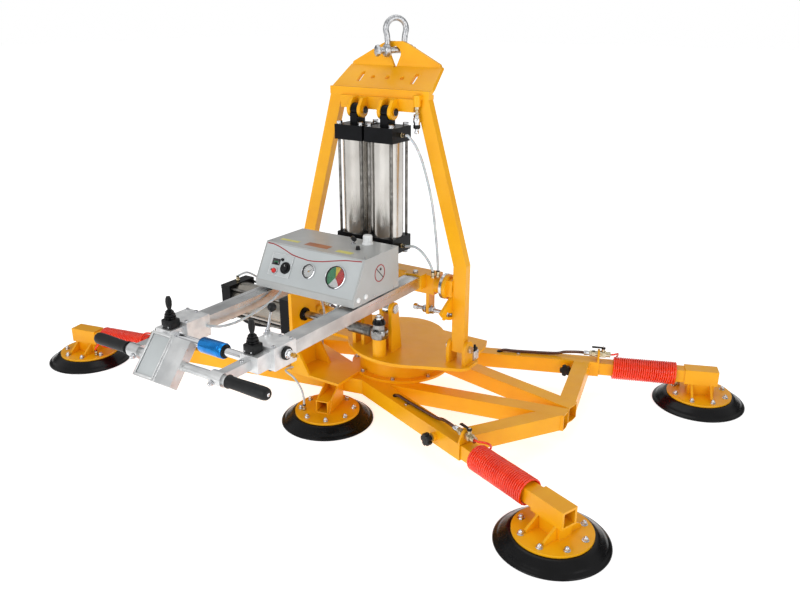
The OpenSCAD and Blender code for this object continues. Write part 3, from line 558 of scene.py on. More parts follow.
def hexagon(across: float, height: float, rim: float = 0.8) -> Piece:
    """Makes a hexagon bar of a size across its flats, from Z 0 up."""
    return rod(across / math.sqrt(3), height, rim, sides=6)


def moved(obj: Piece, where: Matrix) -> Piece:
    """Moves an object's mesh by a matrix."""
    obj.data.transform(where)
    return obj


def copied(obj: Piece, where: Matrix) -> Piece:
    """Copies an object with a mesh of its own, moved by a matrix."""
    twin = obj.copy()
    twin.data = obj.data.copy()
    bpy.context.scene.collection.objects.link(twin)
    return moved(twin, where)


def joined(parts: Sequence[Piece]) -> Piece:
    """Joins several objects into the first one."""
    deselect()
    for part in parts:
        part.select_set(True)
    bpy.context.view_layer.objects.active = parts[0]
    if len(parts) > 1:
        bpy.ops.object.join()
    return parts[0]


def ringed(obj: Piece, places: Sequence[Matrix]) -> Piece:
    """Puts a copy of a shape at each place and joins them; the pattern itself goes."""
    twins = [copied(obj, place) for place in places]
    bpy.data.objects.remove(obj)
    return joined(twins)


def fit(obj: Piece, name: str, where: Matrix, body: str,
        replaces: Sequence[str] = ()) -> Piece:
    """Puts a finished piece into the lifter.

    Args:
        obj: the piece, modelled in millimetres.
        name: its name.
        where: its placing.
        body: the CAD body it moves with.
        replaces: the CAD nodes it stands for.

    Returns:
        The piece.
    """
    obj.name = name
    obj.data.name = name
    moved(obj, where)
    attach(obj, body)
    if replaces:
        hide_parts(*replaces)
    LOG.info("%s rides on %s", name, body)
    return obj


# ------------------------------------------------------------------ small hardware


def bolt_head(across: float = 17.0, height: float = 9.0, washer: float = 11.0) -> Piece:
    """Makes a hexagon head on its washer, sitting on Z 0."""
    plate = rod(washer, 2.0, 0.4)
    head = moved(hexagon(across, height), shift(0, 0, 2.0))
    return PAINT.coat(joined([soften(plate), soften(head, SHARP)]), BRIGHT_STEEL)


def cap_nut(across: float = 15.0) -> Piece:
    """Makes a domed cap nut on a washer, sitting on Z 0."""
    washer = rod(across * 0.72, 1.6, 0.4)
    nut = moved(hexagon(across, 7.0), shift(0, 0, 1.6))
    r = across * 0.44
    dome = [(r * math.cos(a), 8.2 + r * 0.95 * math.sin(a))
            for a in (math.radians(15 * k) for k in range(6))]
    cap = turned([(0, 8.0), (r, 8.0), *dome, (0, 8.2 + r * 0.95)], 20)
    return PAINT.coat(joined([soften(washer), soften(nut, SHARP), cap]), BRIGHT_STEEL)


def socket_screw(radius: float = 6.5, height: float = 6.0) -> Piece:
    """Makes a cylinder-head screw with a hollow top, sitting on Z 0."""
    head = rod(radius, height, 0.5, 24)
    select_parts(head, Part.FACES, lambda c: c.z > height - THIN)
    bpy.ops.mesh.inset(thickness=radius * 0.45)
    bpy.ops.mesh.extrude_region_move(TRANSFORM_OT_translate={"value": (0, 0, -height * 0.6)})
    bpy.ops.object.mode_set(mode="OBJECT")
    return PAINT.coat(soften(head), BRIGHT_STEEL)


def push_fitting(length: float = 22.0) -> Piece:
    """Makes a push-in hose fitting that points along Z, sitting on Z 0."""
    nut = PAINT.coat(soften(hexagon(14, 8), SHARP), NICKEL_BRASS)
    neck = turned([(0, 8), (5.2, 8), (5.2, 10), (6.4, 10.6), (6.4, length - 4), (0, length - 4)], 24)
    ring = turned([(0, length - 4), (5.6, length - 4), (6.2, length - 3), (6.2, length - 1),
                   (5.2, length), (0, length)], 24)
    return joined([nut, PAINT.coat(neck, NICKEL_BRASS), PAINT.coat(ring, BLACK_NYLON)])


# ------------------------------------------------------------------ studio


@dataclass
class Studio:
    """The camera, the pale floor and the soft light."""

    camera_at: Point = (1560.8, -2397.1, 1477.0)
    camera_azimuth: float = 33.17
    camera_elevation: float = 20.45
    focal_mm: float = 35.36
    sensor_mm: float = 36.0
    floor_size: float = 60.0
    floor_grey: float = 0.86
    floor_glow: float = 0.66
    sky: float = 0.46
    dark_card: float = 0.10
    light_card: float = 0.85
    cards: float = 4.0

    def camera(self) -> None:
        """Makes the camera and hands it to the scene."""
        data = bpy.data.cameras.new("camera")
        data.lens = self.focal_mm
        data.sensor_width = self.sensor_mm
        obj = bpy.data.objects.new("camera", data)
        bpy.context.scene.collection.objects.link(obj)
        a, e = math.radians(self.camera_azimuth), math.radians(self.camera_elevation)
        back = Vector((math.sin(a) * math.cos(e), -math.cos(a) * math.cos(e), math.sin(e)))
        right = Vector((math.cos(a), math.sin(a), 0))
        turn = Matrix((right, back.cross(right), back)).transposed().to_4x4()
        obj.matrix_world = Matrix.Translation(Vector(self.camera_at) * MM) @ turn
        bpy.context.scene.camera = obj

    def floor(self) -> None:
        """Lays the floor, a hair below the lips."""
        deselect()
        bpy.ops.mesh.primitive_plane_add(size=self.floor_size, location=(0, 0, -0.0005))
        floor = settle(bpy.context.object)
        floor.name = "floor"
        material = bpy.data.materials.new("white_floor")
        material.use_nodes = True
        shader = material.node_tree.nodes["Principled BSDF"]
        shader.inputs["Base Color"].default_value = (*[self.floor_grey] * 3, 1)
        shader.inputs["Roughness"].default_value = 0.6
        shader.inputs["Emission Color"].default_value = (1, 1, 1, 1)
        shader.inputs["Emission Strength"].default_value = self.floor_glow
        floor.data.materials.append(material)

    def lamp(self, name: str, at: Point, size: float, power: float) -> None:
        """Hangs a square soft box that faces the lifter's middle."""
        data = bpy.data.lights.new(name, "AREA")
        data.shape = "SQUARE"
        data.size = size
        data.energy = power
        obj = bpy.data.objects.new(name, data)
        bpy.context.scene.collection.objects.link(obj)
        place = Vector(at)
        back = (place - Vector((0, 0, 0.6))).normalized()
        obj.matrix_world = Matrix.Translation(place) @ back.to_track_quat("Z", "Y").to_matrix().to_4x4()

    def sky_power(self, tree: Tree) -> Socket:
        """Returns the sky's strength: even for light, white behind, with dark cards for metal."""
        where = add_node(tree, "ShaderNodeTexCoord", {}, {})
        axes = add_node(tree, "ShaderNodeSeparateXYZ", {}, {"Vector": where.outputs["Generated"]})
        turn = add_node(tree, "ShaderNodeMath", {"operation": "ARCTAN2"},
                        {0: axes.outputs["Y"], 1: axes.outputs["X"]})
        beat = add_node(tree, "ShaderNodeMath", {"operation": "MULTIPLY"},
                        {0: turn.outputs[0], 1: self.cards})
        wave = add_node(tree, "ShaderNodeMath", {"operation": "SINE"}, {0: beat.outputs[0]})
        card = add_node(tree, "ShaderNodeMapRange", {},
                        {"Value": wave.outputs[0], "From Min": -0.3, "From Max": 0.7,
                         "To Min": self.dark_card, "To Max": self.light_card})
        height = add_node(tree, "ShaderNodeMapRange", {},
                          {"Value": axes.outputs["Z"], "From Min": 0.35, "From Max": 0.6})
        mirrored = add_node(tree, "ShaderNodeMix", {"data_type": "FLOAT"},
                            {0: height.outputs[0], 2: card.outputs[0], 3: self.light_card})
        rays = add_node(tree, "ShaderNodeLightPath", {}, {})
        seen = add_node(tree, "ShaderNodeMix", {"data_type": "FLOAT"},
                        {0: rays.outputs["Is Glossy Ray"], 2: self.sky, 3: mirrored.outputs[0]})
        return add_node(tree, "ShaderNodeMix", {"data_type": "FLOAT"},
                        {0: rays.outputs["Is Camera Ray"], 2: seen.outputs[0], 3: 1.0}).outputs[0]

    def build(self) -> None:
        """Makes everything that isn't the lifter."""
        self.camera()
        self.floor()
        world = bpy.data.worlds.new("studio")
        world.use_nodes = True
        tree = world.node_tree
        tree.nodes["Background"].inputs["Color"].default_value = (1, 1, 1, 1)
        tree.links.new(self.sky_power(tree), tree.nodes["Background"].inputs["Strength"])
        bpy.context.scene.world = world
        bpy.context.scene.view_settings.view_transform = "Standard"
        self.lamp("key_light", (-0.6, -4.8, 2.2), 2.8, 84)
        self.lamp("top_light", (-0.5, 0.5, 4.2), 2.6, 22)
        self.lamp("fill_light", (4.6, -1.6, 1.8), 2.4, 52)


# ------------------------------------------------------------------ sub-assemblies


@dataclass
class CupSet:
    """One suction cup: its rubber seal, cap nuts and vacuum port."""

    name: str
    body: str
    where: Matrix
    port: Point
    disc_top: float = 44.0
    nut_circle_r: float = 100.0
    nuts: int = 8
    first_nut: float = 22.5

    def seal_profile(self) -> Profile:
        """Returns the moulded section: flared lip, grooved flank, clamped rim and ribbed roof."""
        return [(15, 26), (60, 26), (62, 24.5), (66, 24.5), (68, 26), (84, 26), (86, 24.5), (90, 24.5),
                (92, 26), (108, 26), (132, 21), (150, 12.5), (162, 3.4), (166, 0.6), (170, 0.1),
                (173.4, 0.6), (175, 2.4), (174.6, 4.6), (172.6, 6.8), (168.5, 9.4), (164.5, 10.9),
                (160.6, 13.6), (158.6, 16.3), (152, 21), (146.6, 24.8), (141.6, 28.6), (137.4, 31.6),
                (134, 33.8), (130, 35.4), (126, 35.9), (15, 35.9)]

    def build(self, replaces: Sequence[str]) -> None:
        """Makes the pieces; replaces names the CAD seals that the rubber stands for."""
        seal = PAINT.coat(turned(self.seal_profile(), 96, closed=True), CUP_RUBBER)
        fit(seal, f"cup_rubber_{self.name}", self.where, self.body, replaces)
        r = self.nut_circle_r
        angles = [math.radians(self.first_nut + 360 / self.nuts * k) for k in range(self.nuts)]
        nuts = ringed(cap_nut(), [shift(r * math.cos(a), r * math.sin(a), self.disc_top)
                                  for a in angles])
        fit(nuts, f"cap_nuts_{self.name}", self.where, self.body)
        port = moved(push_fitting(24), Matrix.Translation(self.port))
        fit(port, f"cup_port_{self.name}", self.where, self.body)


@dataclass
class ArmSet:
    """What hangs on one telescopic arm: coiled hose, valve lever, star knob and cup."""

    name: str
    knob_side: float
    reach: float = 395.0
    axis_z: float = 115.0
    valve_z: float = 171.0
    valve_x: float = 13.0
    knob_x: float = -130.0
    tube_w: float = 60.0
    coil_r: float = 42.0
    swell: float = 0.15
    hose_r: float = 3.9
    coil_x0: float = 54.0
    coil_x1: float = 296.0
    turns: int = 29
    steps: int = 18

    def where(self) -> Matrix:
        """Returns the arm's frame: X out along the arm from the end of its lattice tube."""
        along = Vector(JOINTS[f"arm_{self.name}_slide"]["axis"])
        stem = Vector(JOINTS[f"lever_{self.name}_turn"]["pos_m"])
        foot = stem - along * self.valve_x * MM
        return stand((foot.x / MM, foot.y / MM, 0), ahead=tuple(along))

    def coil_path(self) -> list[Vector]:
        """Returns the hose: a loop from the valve, the coil round the arm, and its tail."""
        top = self.valve_z
        lead = smooth_path([(42, 0, top), (54, 1, top + 1), (66, 8, top + 2), (73, 22, top - 3),
                            (74, 38, top - 16), (68, 46, top - 32), (60, 44, top - 46)], 5)
        coil = []
        for k in range(self.turns * self.steps + 1):
            share = k / (self.turns * self.steps)
            angle = math.radians(-360 * self.turns - 10) * share
            r = self.coil_r + self.swell * math.sin(7 * angle / 6)
            coil.append(Vector((self.coil_x0 + (self.coil_x1 - self.coil_x0) * share,
                                r * math.cos(angle), self.axis_z + r * math.sin(angle))))
        tail = smooth_path([tuple(coil[-1]), (304, 41, 96), (312, 46, 84), (319, 46, 76),
                            (320, 45, 66)], 5)
        return [*lead[:-1], *coil, *tail[1:]]

    def coil(self) -> None:
        """Makes the coiled hose round the arm."""
        where = self.where()
        hose = PAINT.coat(pipe(self.coil_path(), self.hose_r, 2), ORANGE_HOSE)
        hose.name = f"coiled_hose_{self.name}"
        moved(hose, where)
        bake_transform(hose)
        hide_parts(f"coil_{self.name}")
        LOG.info("%s stretches with the arm", hose.name)

    def lever(self) -> None:
        """Makes the valve's quarter-turn lever: a pressed strip in a plastic sleeve."""
        hub = soften(rod(8.5, 5, 0.8))
        screw = moved(socket_screw(4.0, 3.5), shift(0, 0, 5))
        stem = moved(rod(3.9, 16, 0.4), shift(0, 0, -16.2))
        handle = slab((-45, -6.5, 1.0), (-4, 6.5, 6.8), 2.4, 3)
        select_parts(handle, Part.VERTICES, lambda v: v.x > -20)
        bpy.ops.transform.resize(value=(1, 0.75, 0.8))
        bpy.ops.object.mode_set(mode="OBJECT")
        parts = [PAINT.coat(hub, BLACK_NYLON), screw, PAINT.coat(soften(stem), BRIGHT_STEEL),
                 PAINT.coat(soften(handle), BLACK_NYLON)]
        where = self.where() @ local((self.valve_x, 0, self.valve_z + 24))
        fit(joined(parts), f"valve_lever_{self.name}", where, f"lever_{self.name}",
            [f"lever_{self.name}"])

    def knob(self) -> None:
        """Makes the clamp's star knob: five lobes moulded over a zinc-plated screw."""
        star = rod(22.6, 19, 1.4, 20)
        for k in range(5):
            angle = math.radians(72 * k)
            middle = Vector((22.6 * math.cos(angle), 22.6 * math.sin(angle), 0))
            select_parts(star, Part.VERTICES, lambda v, m=middle: (v.xy - m.xy).length < 5.5)
            bpy.ops.transform.translate(value=(-6 * math.cos(angle), -6 * math.sin(angle), 0))
            bpy.ops.object.mode_set(mode="OBJECT")
        moved(star, shift(0, 0, 24.6))
        screw = turned([(0, 1.2), (5.9, 1.2), (5.9, 14), (9.5, 14), (9.5, 18), (8, 18), (8, 24.8),
                        (0, 24.8)], 24)
        hub = turned([(0, 43), (9, 43), (9, 43.8), (8, 44), (0, 44)], 24)
        parts = [PAINT.coat(soften(star, SHARP), BLACK_NYLON), PAINT.coat(screw, BRIGHT_STEEL),
                 PAINT.coat(hub, BLACK_NYLON)]
        side = self.knob_side
        where = self.where() @ local((self.knob_x, side * self.tube_w / 2, self.axis_z),
                                     up=(0, side, 0))
        fit(joined(parts), f"star_knob_{self.name}", where, f"knob_{self.name}",
            [f"knob_{self.name}"])

    def valve(self) -> None:
        """Adds the coil's barb, the lock nuts and the ferrule to the ball valve."""
        barb = moved(turned([(0, 0), (6.6, 0), (6.6, 6), (5.4, 7), (5.4, 12), (0, 12)], 24),
                     shift(0, 0, 24))
        nut = moved(hexagon(24, 6), shift(0, 0, 0.2))
        ferrule = moved(turned([(0, 0), (9.5, 0), (9.5, 14), (8.4, 16), (7.4, 22), (0, 22)], 24),
                        shift(0, 0, -62))
        parts = [PAINT.coat(barb, BRIGHT_STEEL), PAINT.coat(soften(nut, SHARP), BRIGHT_STEEL),
                 PAINT.coat(ferrule, BRIGHT_STEEL)]
        where = self.where() @ local((0, 0, self.valve_z), up=AHEAD, ahead=ASIDE)
        fit(joined(parts), f"valve_fittings_{self.name}", where, "lattice")

    def build(self) -> None:
        """Makes the arm's pieces."""
        self.coil()
        self.lever()
        self.knob()
        self.valve()
        where = self.where() @ local((self.reach, 0, 0))
        cup = CupSet(self.name, f"arm_{self.name}", where, port=(self.reach - 470.0, 45, 44))
        cup.build([f"seal_{self.name}"])


@dataclass
class Lattice:
    """The base frame's side cups, vacuum hoses and plate bolts."""

    lip_mark_r: float = 170.0
    port_ahead: float = 45.0
    port_out: float = 75.0
    hose_r: float = 6.0
    valve_z: float = 171.0
    tube_top: float = 145.0
    plate_top: float = 155.0
    bolt_at: float = 180.0
    bolts: int = 8

    def cup_middle(self, name: str) -> Vector:
        """Returns the middle of a side cup on the floor; its mount is marked on the lip."""
        return Vector(at_mark(MOUNTS[f"lip_{name}"]["pos_m"])) - Vector((self.lip_mark_r, 0, 0))

    def side_cup(self, name: str, arm: str, turn: float) -> None:
        """Makes a fixed cup beside a narrow tube; turn says to which hand of the arm it lies."""
        along = Vector(JOINTS[f"arm_{arm}_slide"]["axis"])
        ahead = Vector((-along.y, along.x, 0)) * turn
        middle = self.cup_middle(name)
        cup = CupSet(name, "lattice", stand(tuple(middle), ahead=tuple(ahead)),
                     port=(self.port_ahead, -self.port_out, 44))
        cup.build(["side_seals"])

    def side_hose(self) -> None:
        """Lays the clear hose from the front side cup's port over to the front narrow tube."""
        middle = self.cup_middle("side_front")
        axis = Vector(JOINTS["arm_front_left_slide"]["axis"])
        ahead = Vector((-axis.y, axis.x, 0))
        port = middle + ahead * self.port_ahead - Vector((-ahead.y, ahead.x, 0)) * self.port_out
        path = [(port.x, port.y, 66), (port.x, port.y, 88), (port.x - 12, port.y + 2, 126),
                (port.x - 52, port.y + 10, 160), (port.x - 110, port.y + 30, 172),
                (-290, -264, 164), (-345, -255, 154), (-378, -246, 146)]
        hose = PAINT.coat(pipe(smooth_path(path), 4.0), CLEAR_HOSE)
        fit(hose, "side_cup_hose", TO_METRES, "lattice")

    def vacuum_hose(self, arm: str, run: float) -> Piece:
        """Makes one brown hose from the ferrule back along its tube into a grommet."""
        top = self.tube_top
        path = [(-60, 0, self.valve_z), (-76, 1, self.valve_z + 0.5), (-104, 6, self.valve_z - 3),
                (-140, 11, top + 17), (-180, 10, top + 8.5), (-run + 70, 3, top + 7),
                (-run + 22, 0, top + 9), (-run, 0, top + 2)]
        hose = PAINT.coat(pipe(smooth_path(path), self.hose_r), BROWN_HOSE)
        grommet = PAINT.coat(turned([(0, 0), (11, 0), (11, 2), (8.5, 5), (0, 5)], 24), CUP_RUBBER)
        moved(grommet, shift(-run, 0, top))
        clip = PAINT.coat(soften(slab((-6, -16, 0), (6, 11, 2.5), 0.8)), BRIGHT_STEEL)
        strap = PAINT.coat(turned([(6.2, -5), (7.8, -5), (7.8, 5), (6.2, 5)], 24, closed=True),
                           BRIGHT_STEEL)
        moved(strap, local((0, 3, 7.4), up=AHEAD))
        screw = moved(socket_screw(4, 3), shift(0, -11, 2.4))
        clamp = moved(joined([clip, strap, screw]), shift(-run + 78, 0, top))
        return moved(joined([hose, grommet, clamp]), ArmSet(arm, 1.0).where())

    def build(self) -> None:
        """Makes the lattice's pieces."""
        self.side_cup("side_front", "front_left", 1.0)
        self.side_cup("side_rear", "rear_left", -1.0)
        self.side_hose()
        hoses = [self.vacuum_hose(arm, run) for arm, run in zip(ARM_NAMES, (300, 400, 400, 300))]
        fit(joined(hoses), "brown_vacuum_hoses", Matrix.Identity(4), "lattice",
            ["vacuum_hoses"])
        at = self.bolt_at
        turns = [math.tau * (k + 0.5) / self.bolts for k in range(self.bolts)]
        bolts = ringed(bolt_head(13, 7, 9), [shift(at * math.cos(a), at * math.sin(a), self.plate_top)
                                             for a in turns])
        fit(bolts, "base_plate_bolts", TO_METRES, "lattice")


@dataclass
class SlewDrive:
    """The slewing cylinder's barrel, tie rods, fittings and rod end."""

    back_x: float = -655.0
    front_x: float = -305.0
    y: float = -241.0
    z: float = 370.0
    cap_w: float = 140.0
    cap_t: float = 45.0
    barrel_r: float = 66.5
    tie_at: float = 57.0
    eye_x: float = 61.0

    def barrel(self) -> None:
        """Makes the satin barrel between the black caps, with its four tie rods."""
        length = self.front_x - self.back_x - 2 * self.cap_t
        r = self.barrel_r
        shell = turned([(r - 1.4, 0), (r, 0), (r, length), (r - 1.4, length)], 96, closed=True)
        parts = [PAINT.coat(moved(shell, local((0, 0, 0), up=AHEAD, ahead=ASIDE)), SLEW_BARREL)]
        tie = PAINT.coat(soften(rod(5, length, 0.3, 20)), DARK_STEEL)
        at = self.tie_at
        corners = [(y, z) for y in (-at, at) for z in (-at, at)]
        parts.append(ringed(tie, [local((0, y, z), up=AHEAD, ahead=ASIDE) for y, z in corners]))
        nut = bolt_head(17, 8, 9)
        parts.append(ringed(nut, [local((-self.cap_t, y, z), up=(-1, 0, 0), ahead=ASIDE)
                                  for y, z in corners]))
        fit(joined(parts), "slew_barrel_and_tie_rods",
            stand((self.back_x + self.cap_t, self.y, self.z)), "lattice")

    def air(self) -> None:
        """Makes the two port fittings and their hoses down to the base."""
        top = self.z + self.cap_w / 2
        ports = [self.back_x + 24, self.front_x - 22]
        fittings = ringed(push_fitting(), [shift(x, self.y, top) for x in ports])
        hoses = []
        for k, x in enumerate(ports):
            lift = 22 + 6 * k
            path = [(x, self.y, top + 20), (x + 2, self.y + 4, top + lift),
                    (x + 22, self.y + 40, top + lift + 6),
                    (x + 50, self.y + 84, top - 20), (x + 60 + 40 * (1 - k), self.y + 96, top - 120),
                    (-300 + 20 * k, self.y + 92, 210), (-288 + 20 * k, self.y + 92, 158)]
            hoses.append(PAINT.coat(pipe(smooth_path(path), 4.0), CLEAR_HOSE))
        fit(joined([fittings, *hoses]), "slew_air_lines", TO_METRES, "lattice")

    def rod_end(self) -> None:
        """Makes the rod eye's rim, dust cone, lock nut and grease nipple, and the sleeve on the rod."""
        rim = turned([(31.9, -15.2), (33.4, -11), (34.2, 0), (33.4, 11), (31.9, 15.2), (24, 15.4),
                      (24, -15.4)], 64, closed=True)
        cone = moved(turned([(0, 0), (24.5, 0), (24.5, 4), (19.5, 16), (0, 16)], 40),
                     shift(0, 0, 37))
        nut = moved(hexagon(26, 12), shift(0, 0, 52))
        stud = moved(rod(8, 10, 1.0), shift(0, 0, 63))
        nipple = moved(turned([(0, 0), (3.5, 0), (3.5, 3), (2, 4), (2.6, 7), (0, 8.5)], 16),
                       local((33, 0, 0), up=AHEAD, ahead=ASIDE))
        sleeve = moved(turned([(15.3, 0), (19, 0), (20.5, 2), (20.5, 64), (19, 66), (19, 70), (21.5, 72),
                               (21.5, 96), (18, 99), (13.5, 101), (13.5, 99)], 40, closed=True),
                       local((-130, 0, 0), up=AHEAD, ahead=ASIDE))
        parts = [PAINT.coat(rim, POLISHED_STEEL), PAINT.coat(sleeve, DARK_STEEL),
                 PAINT.coat(cone, CUP_RUBBER), PAINT.coat(soften(nut, SHARP), BRIGHT_STEEL),
                 PAINT.coat(soften(stud), BRIGHT_STEEL), PAINT.coat(nipple, BRASS)]
        fit(joined(parts), "slew_rod_end", stand((self.eye_x, self.y, self.z)), "slew_rod")

    def build(self) -> None:
        """Makes the drive's pieces."""
        self.barrel()
        self.air()
        self.rod_end()


@dataclass
class TiltMast:
    """Tie rods, air lines, pin ends, quick coupling and limit valve of the tilting mast."""

    cyl_x: float = 62.0
    cyl_y: float = -180.0
    cap_top: float = 1103.0
    cap_low: float = 670.0
    tie_z0: float = 725.0
    tie_z1: float = 1053.0
    tie_at: float = 46.0
    nut_at: float = 44.0
    side_x: float = 119.0
    hose_r: float = 4.5
    eye_z: float = 1150.0
    ear_out: float = 33.2
    coupling_top: float = 1170.0
    axle_ports: tuple[Spot, ...] = ((250.0, -150.0), (240.0, -168.0))
    axle_port_z: float = 594.0
    limit_valve_at: Point = (370.0, -84.0, 285.0)

    def tie_rods(self) -> None:
        """Makes four tie rods and eight nuts on each tilt cylinder."""
        tie = PAINT.coat(soften(rod(5, self.tie_z1 - self.tie_z0, 0.3, 20)), DARK_STEEL)
        nut = bolt_head(17, 9.5, 10)
        middles = [(side * self.cyl_x, self.cyl_y) for side in (-1, 1)]
        rods = ringed(tie, [shift(mx + sx * self.tie_at, my + sy * self.tie_at, self.tie_z0)
                            for mx, my in middles for sx in (-1, 1) for sy in (-1, 1)])
        at = self.nut_at
        spots = [(mx + sx * at, my + sy * at) for mx, my in middles for sx in (-1, 1) for sy in (-1, 1)]
        nuts = ringed(nut, [shift(x, y, self.cap_top) for x, y in spots]
                      + [local((x, y, self.cap_low), up=DOWN) for x, y in spots])
        fit(joined([rods, nuts]), "tilt_tie_rods", TO_METRES, "tilt_barrels")

    def air(self) -> None:
        """Makes the port fittings and the two clear hoses between the mast and the cylinders."""
        ports = [(self.side_x, -190, 1078), (self.side_x, -190, 697)]
        fittings = ringed(push_fitting(), [local(port, up=AHEAD, ahead=ASIDE) for port in ports])
        fit(fittings, "tilt_port_fittings", TO_METRES, "tilt_barrels")
        paths = [[(139, -190, 1078), (152, -190, 1076), (180, -188, 1045), (206, -180, 980),
                  (230, -166, 865), (243, -156, 740), (248, -151, 660), (250, -150, 618)],
                 [(139, -190, 697), (154, -191, 700), (182, -192, 702), (208, -188, 686),
                  (230, -178, 652), (240, -168, 618)]]
        for k, path in enumerate(paths):
            hose = moved(PAINT.coat(pipe(smooth_path(path), self.hose_r), CLEAR_HOSE), TO_METRES)
            hose.name = f"tilt_air_hose_{k}"
            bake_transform(hose)
            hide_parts("air_hoses")
            LOG.info("%s bends between the mast and the cylinders", hose.name)
        tees = ringed(push_fitting(24), [shift(x, y, self.axle_port_z) for x, y in self.axle_ports])
        fit(tees, "axle_port_fittings", TO_METRES, "mast")

    def pin_ends(self) -> None:
        """Shows the blackened ends of the cylinders' pins in the ears, with their snap rings."""
        end = PAINT.coat(turned([(0, 0), (11.5, 0), (11.5, 1.6), (10.5, 2.4), (0, 2.4)], 32),
                         CUP_RUBBER)
        snap = PAINT.coat(turned([(11.2, 0), (13.4, 0), (13.4, 1.2), (11.2, 1.2)], 32, closed=True),
                          DARK_STEEL)
        places = [local((self.cyl_x * side + self.ear_out * out, self.cyl_y, self.eye_z),
                        up=(out, 0, 0), ahead=UP)
                  for side in (-1, 1) for out in (-1, 1)]
        fit(ringed(joined([end, snap]), places), "ear_pin_ends", TO_METRES, "mast")

    def coupling(self) -> None:
        """Hangs the quick coupling under the right end of the lifting plate."""
        stem = turned([(0, 0), (8.4, 0), (8.4, 8), (5.2, 10), (5.2, 26), (0, 26)], 24)
        nut = moved(hexagon(19, 10), shift(0, 0, 24))
        body = turned([(0, 33), (9, 33), (12.4, 38), (13, 44), (12.4, 50), (10, 54), (10, 58), (0, 58)],
                      32)
        sleeve = turned([(0, 58), (11.5, 58), (11.8, 60), (11.8, 68), (10, 71), (0, 71)], 32)
        nipple = turned([(0, 71), (6, 71), (6, 78), (7.4, 80), (7.4, 86), (5.5, 88), (0, 88)], 24)
        parts = [PAINT.coat(stem, NICKEL_BRASS), PAINT.coat(soften(nut, SHARP), BRIGHT_STEEL),
                 PAINT.coat(body, CHROME), PAINT.coat(sleeve, BLACK_NYLON),
                 PAINT.coat(nipple, BRIGHT_STEEL)]
        inlet = at_mark(MOUNTS["air_inlet"]["pos_m"])
        place = stand((inlet[0], inlet[1], self.coupling_top), up=DOWN)
        fit(joined(parts), "quick_coupling", place, "mast")

    def foot_valve(self) -> None:
        """Makes the tilt limit valve beside the right foot."""
        body = PAINT.coat(soften(slab((-8, -16, 0), (8, 16, 34), 1.5)), ALU_BLASTED)
        cap = PAINT.coat(soften(slab((-7, -12, 34), (7, 12, 46), 3.0)), BLACK_NYLON)
        stem = PAINT.coat(moved(turned([(0, 0), (4.5, 0), (4.5, 8), (2.5, 11), (0, 11)], 20),
                                shift(0, 0, 46)), BLACK_NYLON)
        screws = ringed(socket_screw(3.2, 2.5), [local((8, y, z), up=AHEAD, ahead=ASIDE)
                                                 for y, z in ((-9, 8), (9, 26))])
        fit(joined([body, cap, stem, screws]), "tilt_limit_valve", stand(self.limit_valve_at),
            "turntable")

    def build(self) -> None:
        """Makes the mast's pieces."""
        self.tie_rods()
        self.air()
        self.pin_ends()
        self.coupling()
        self.foot_valve()


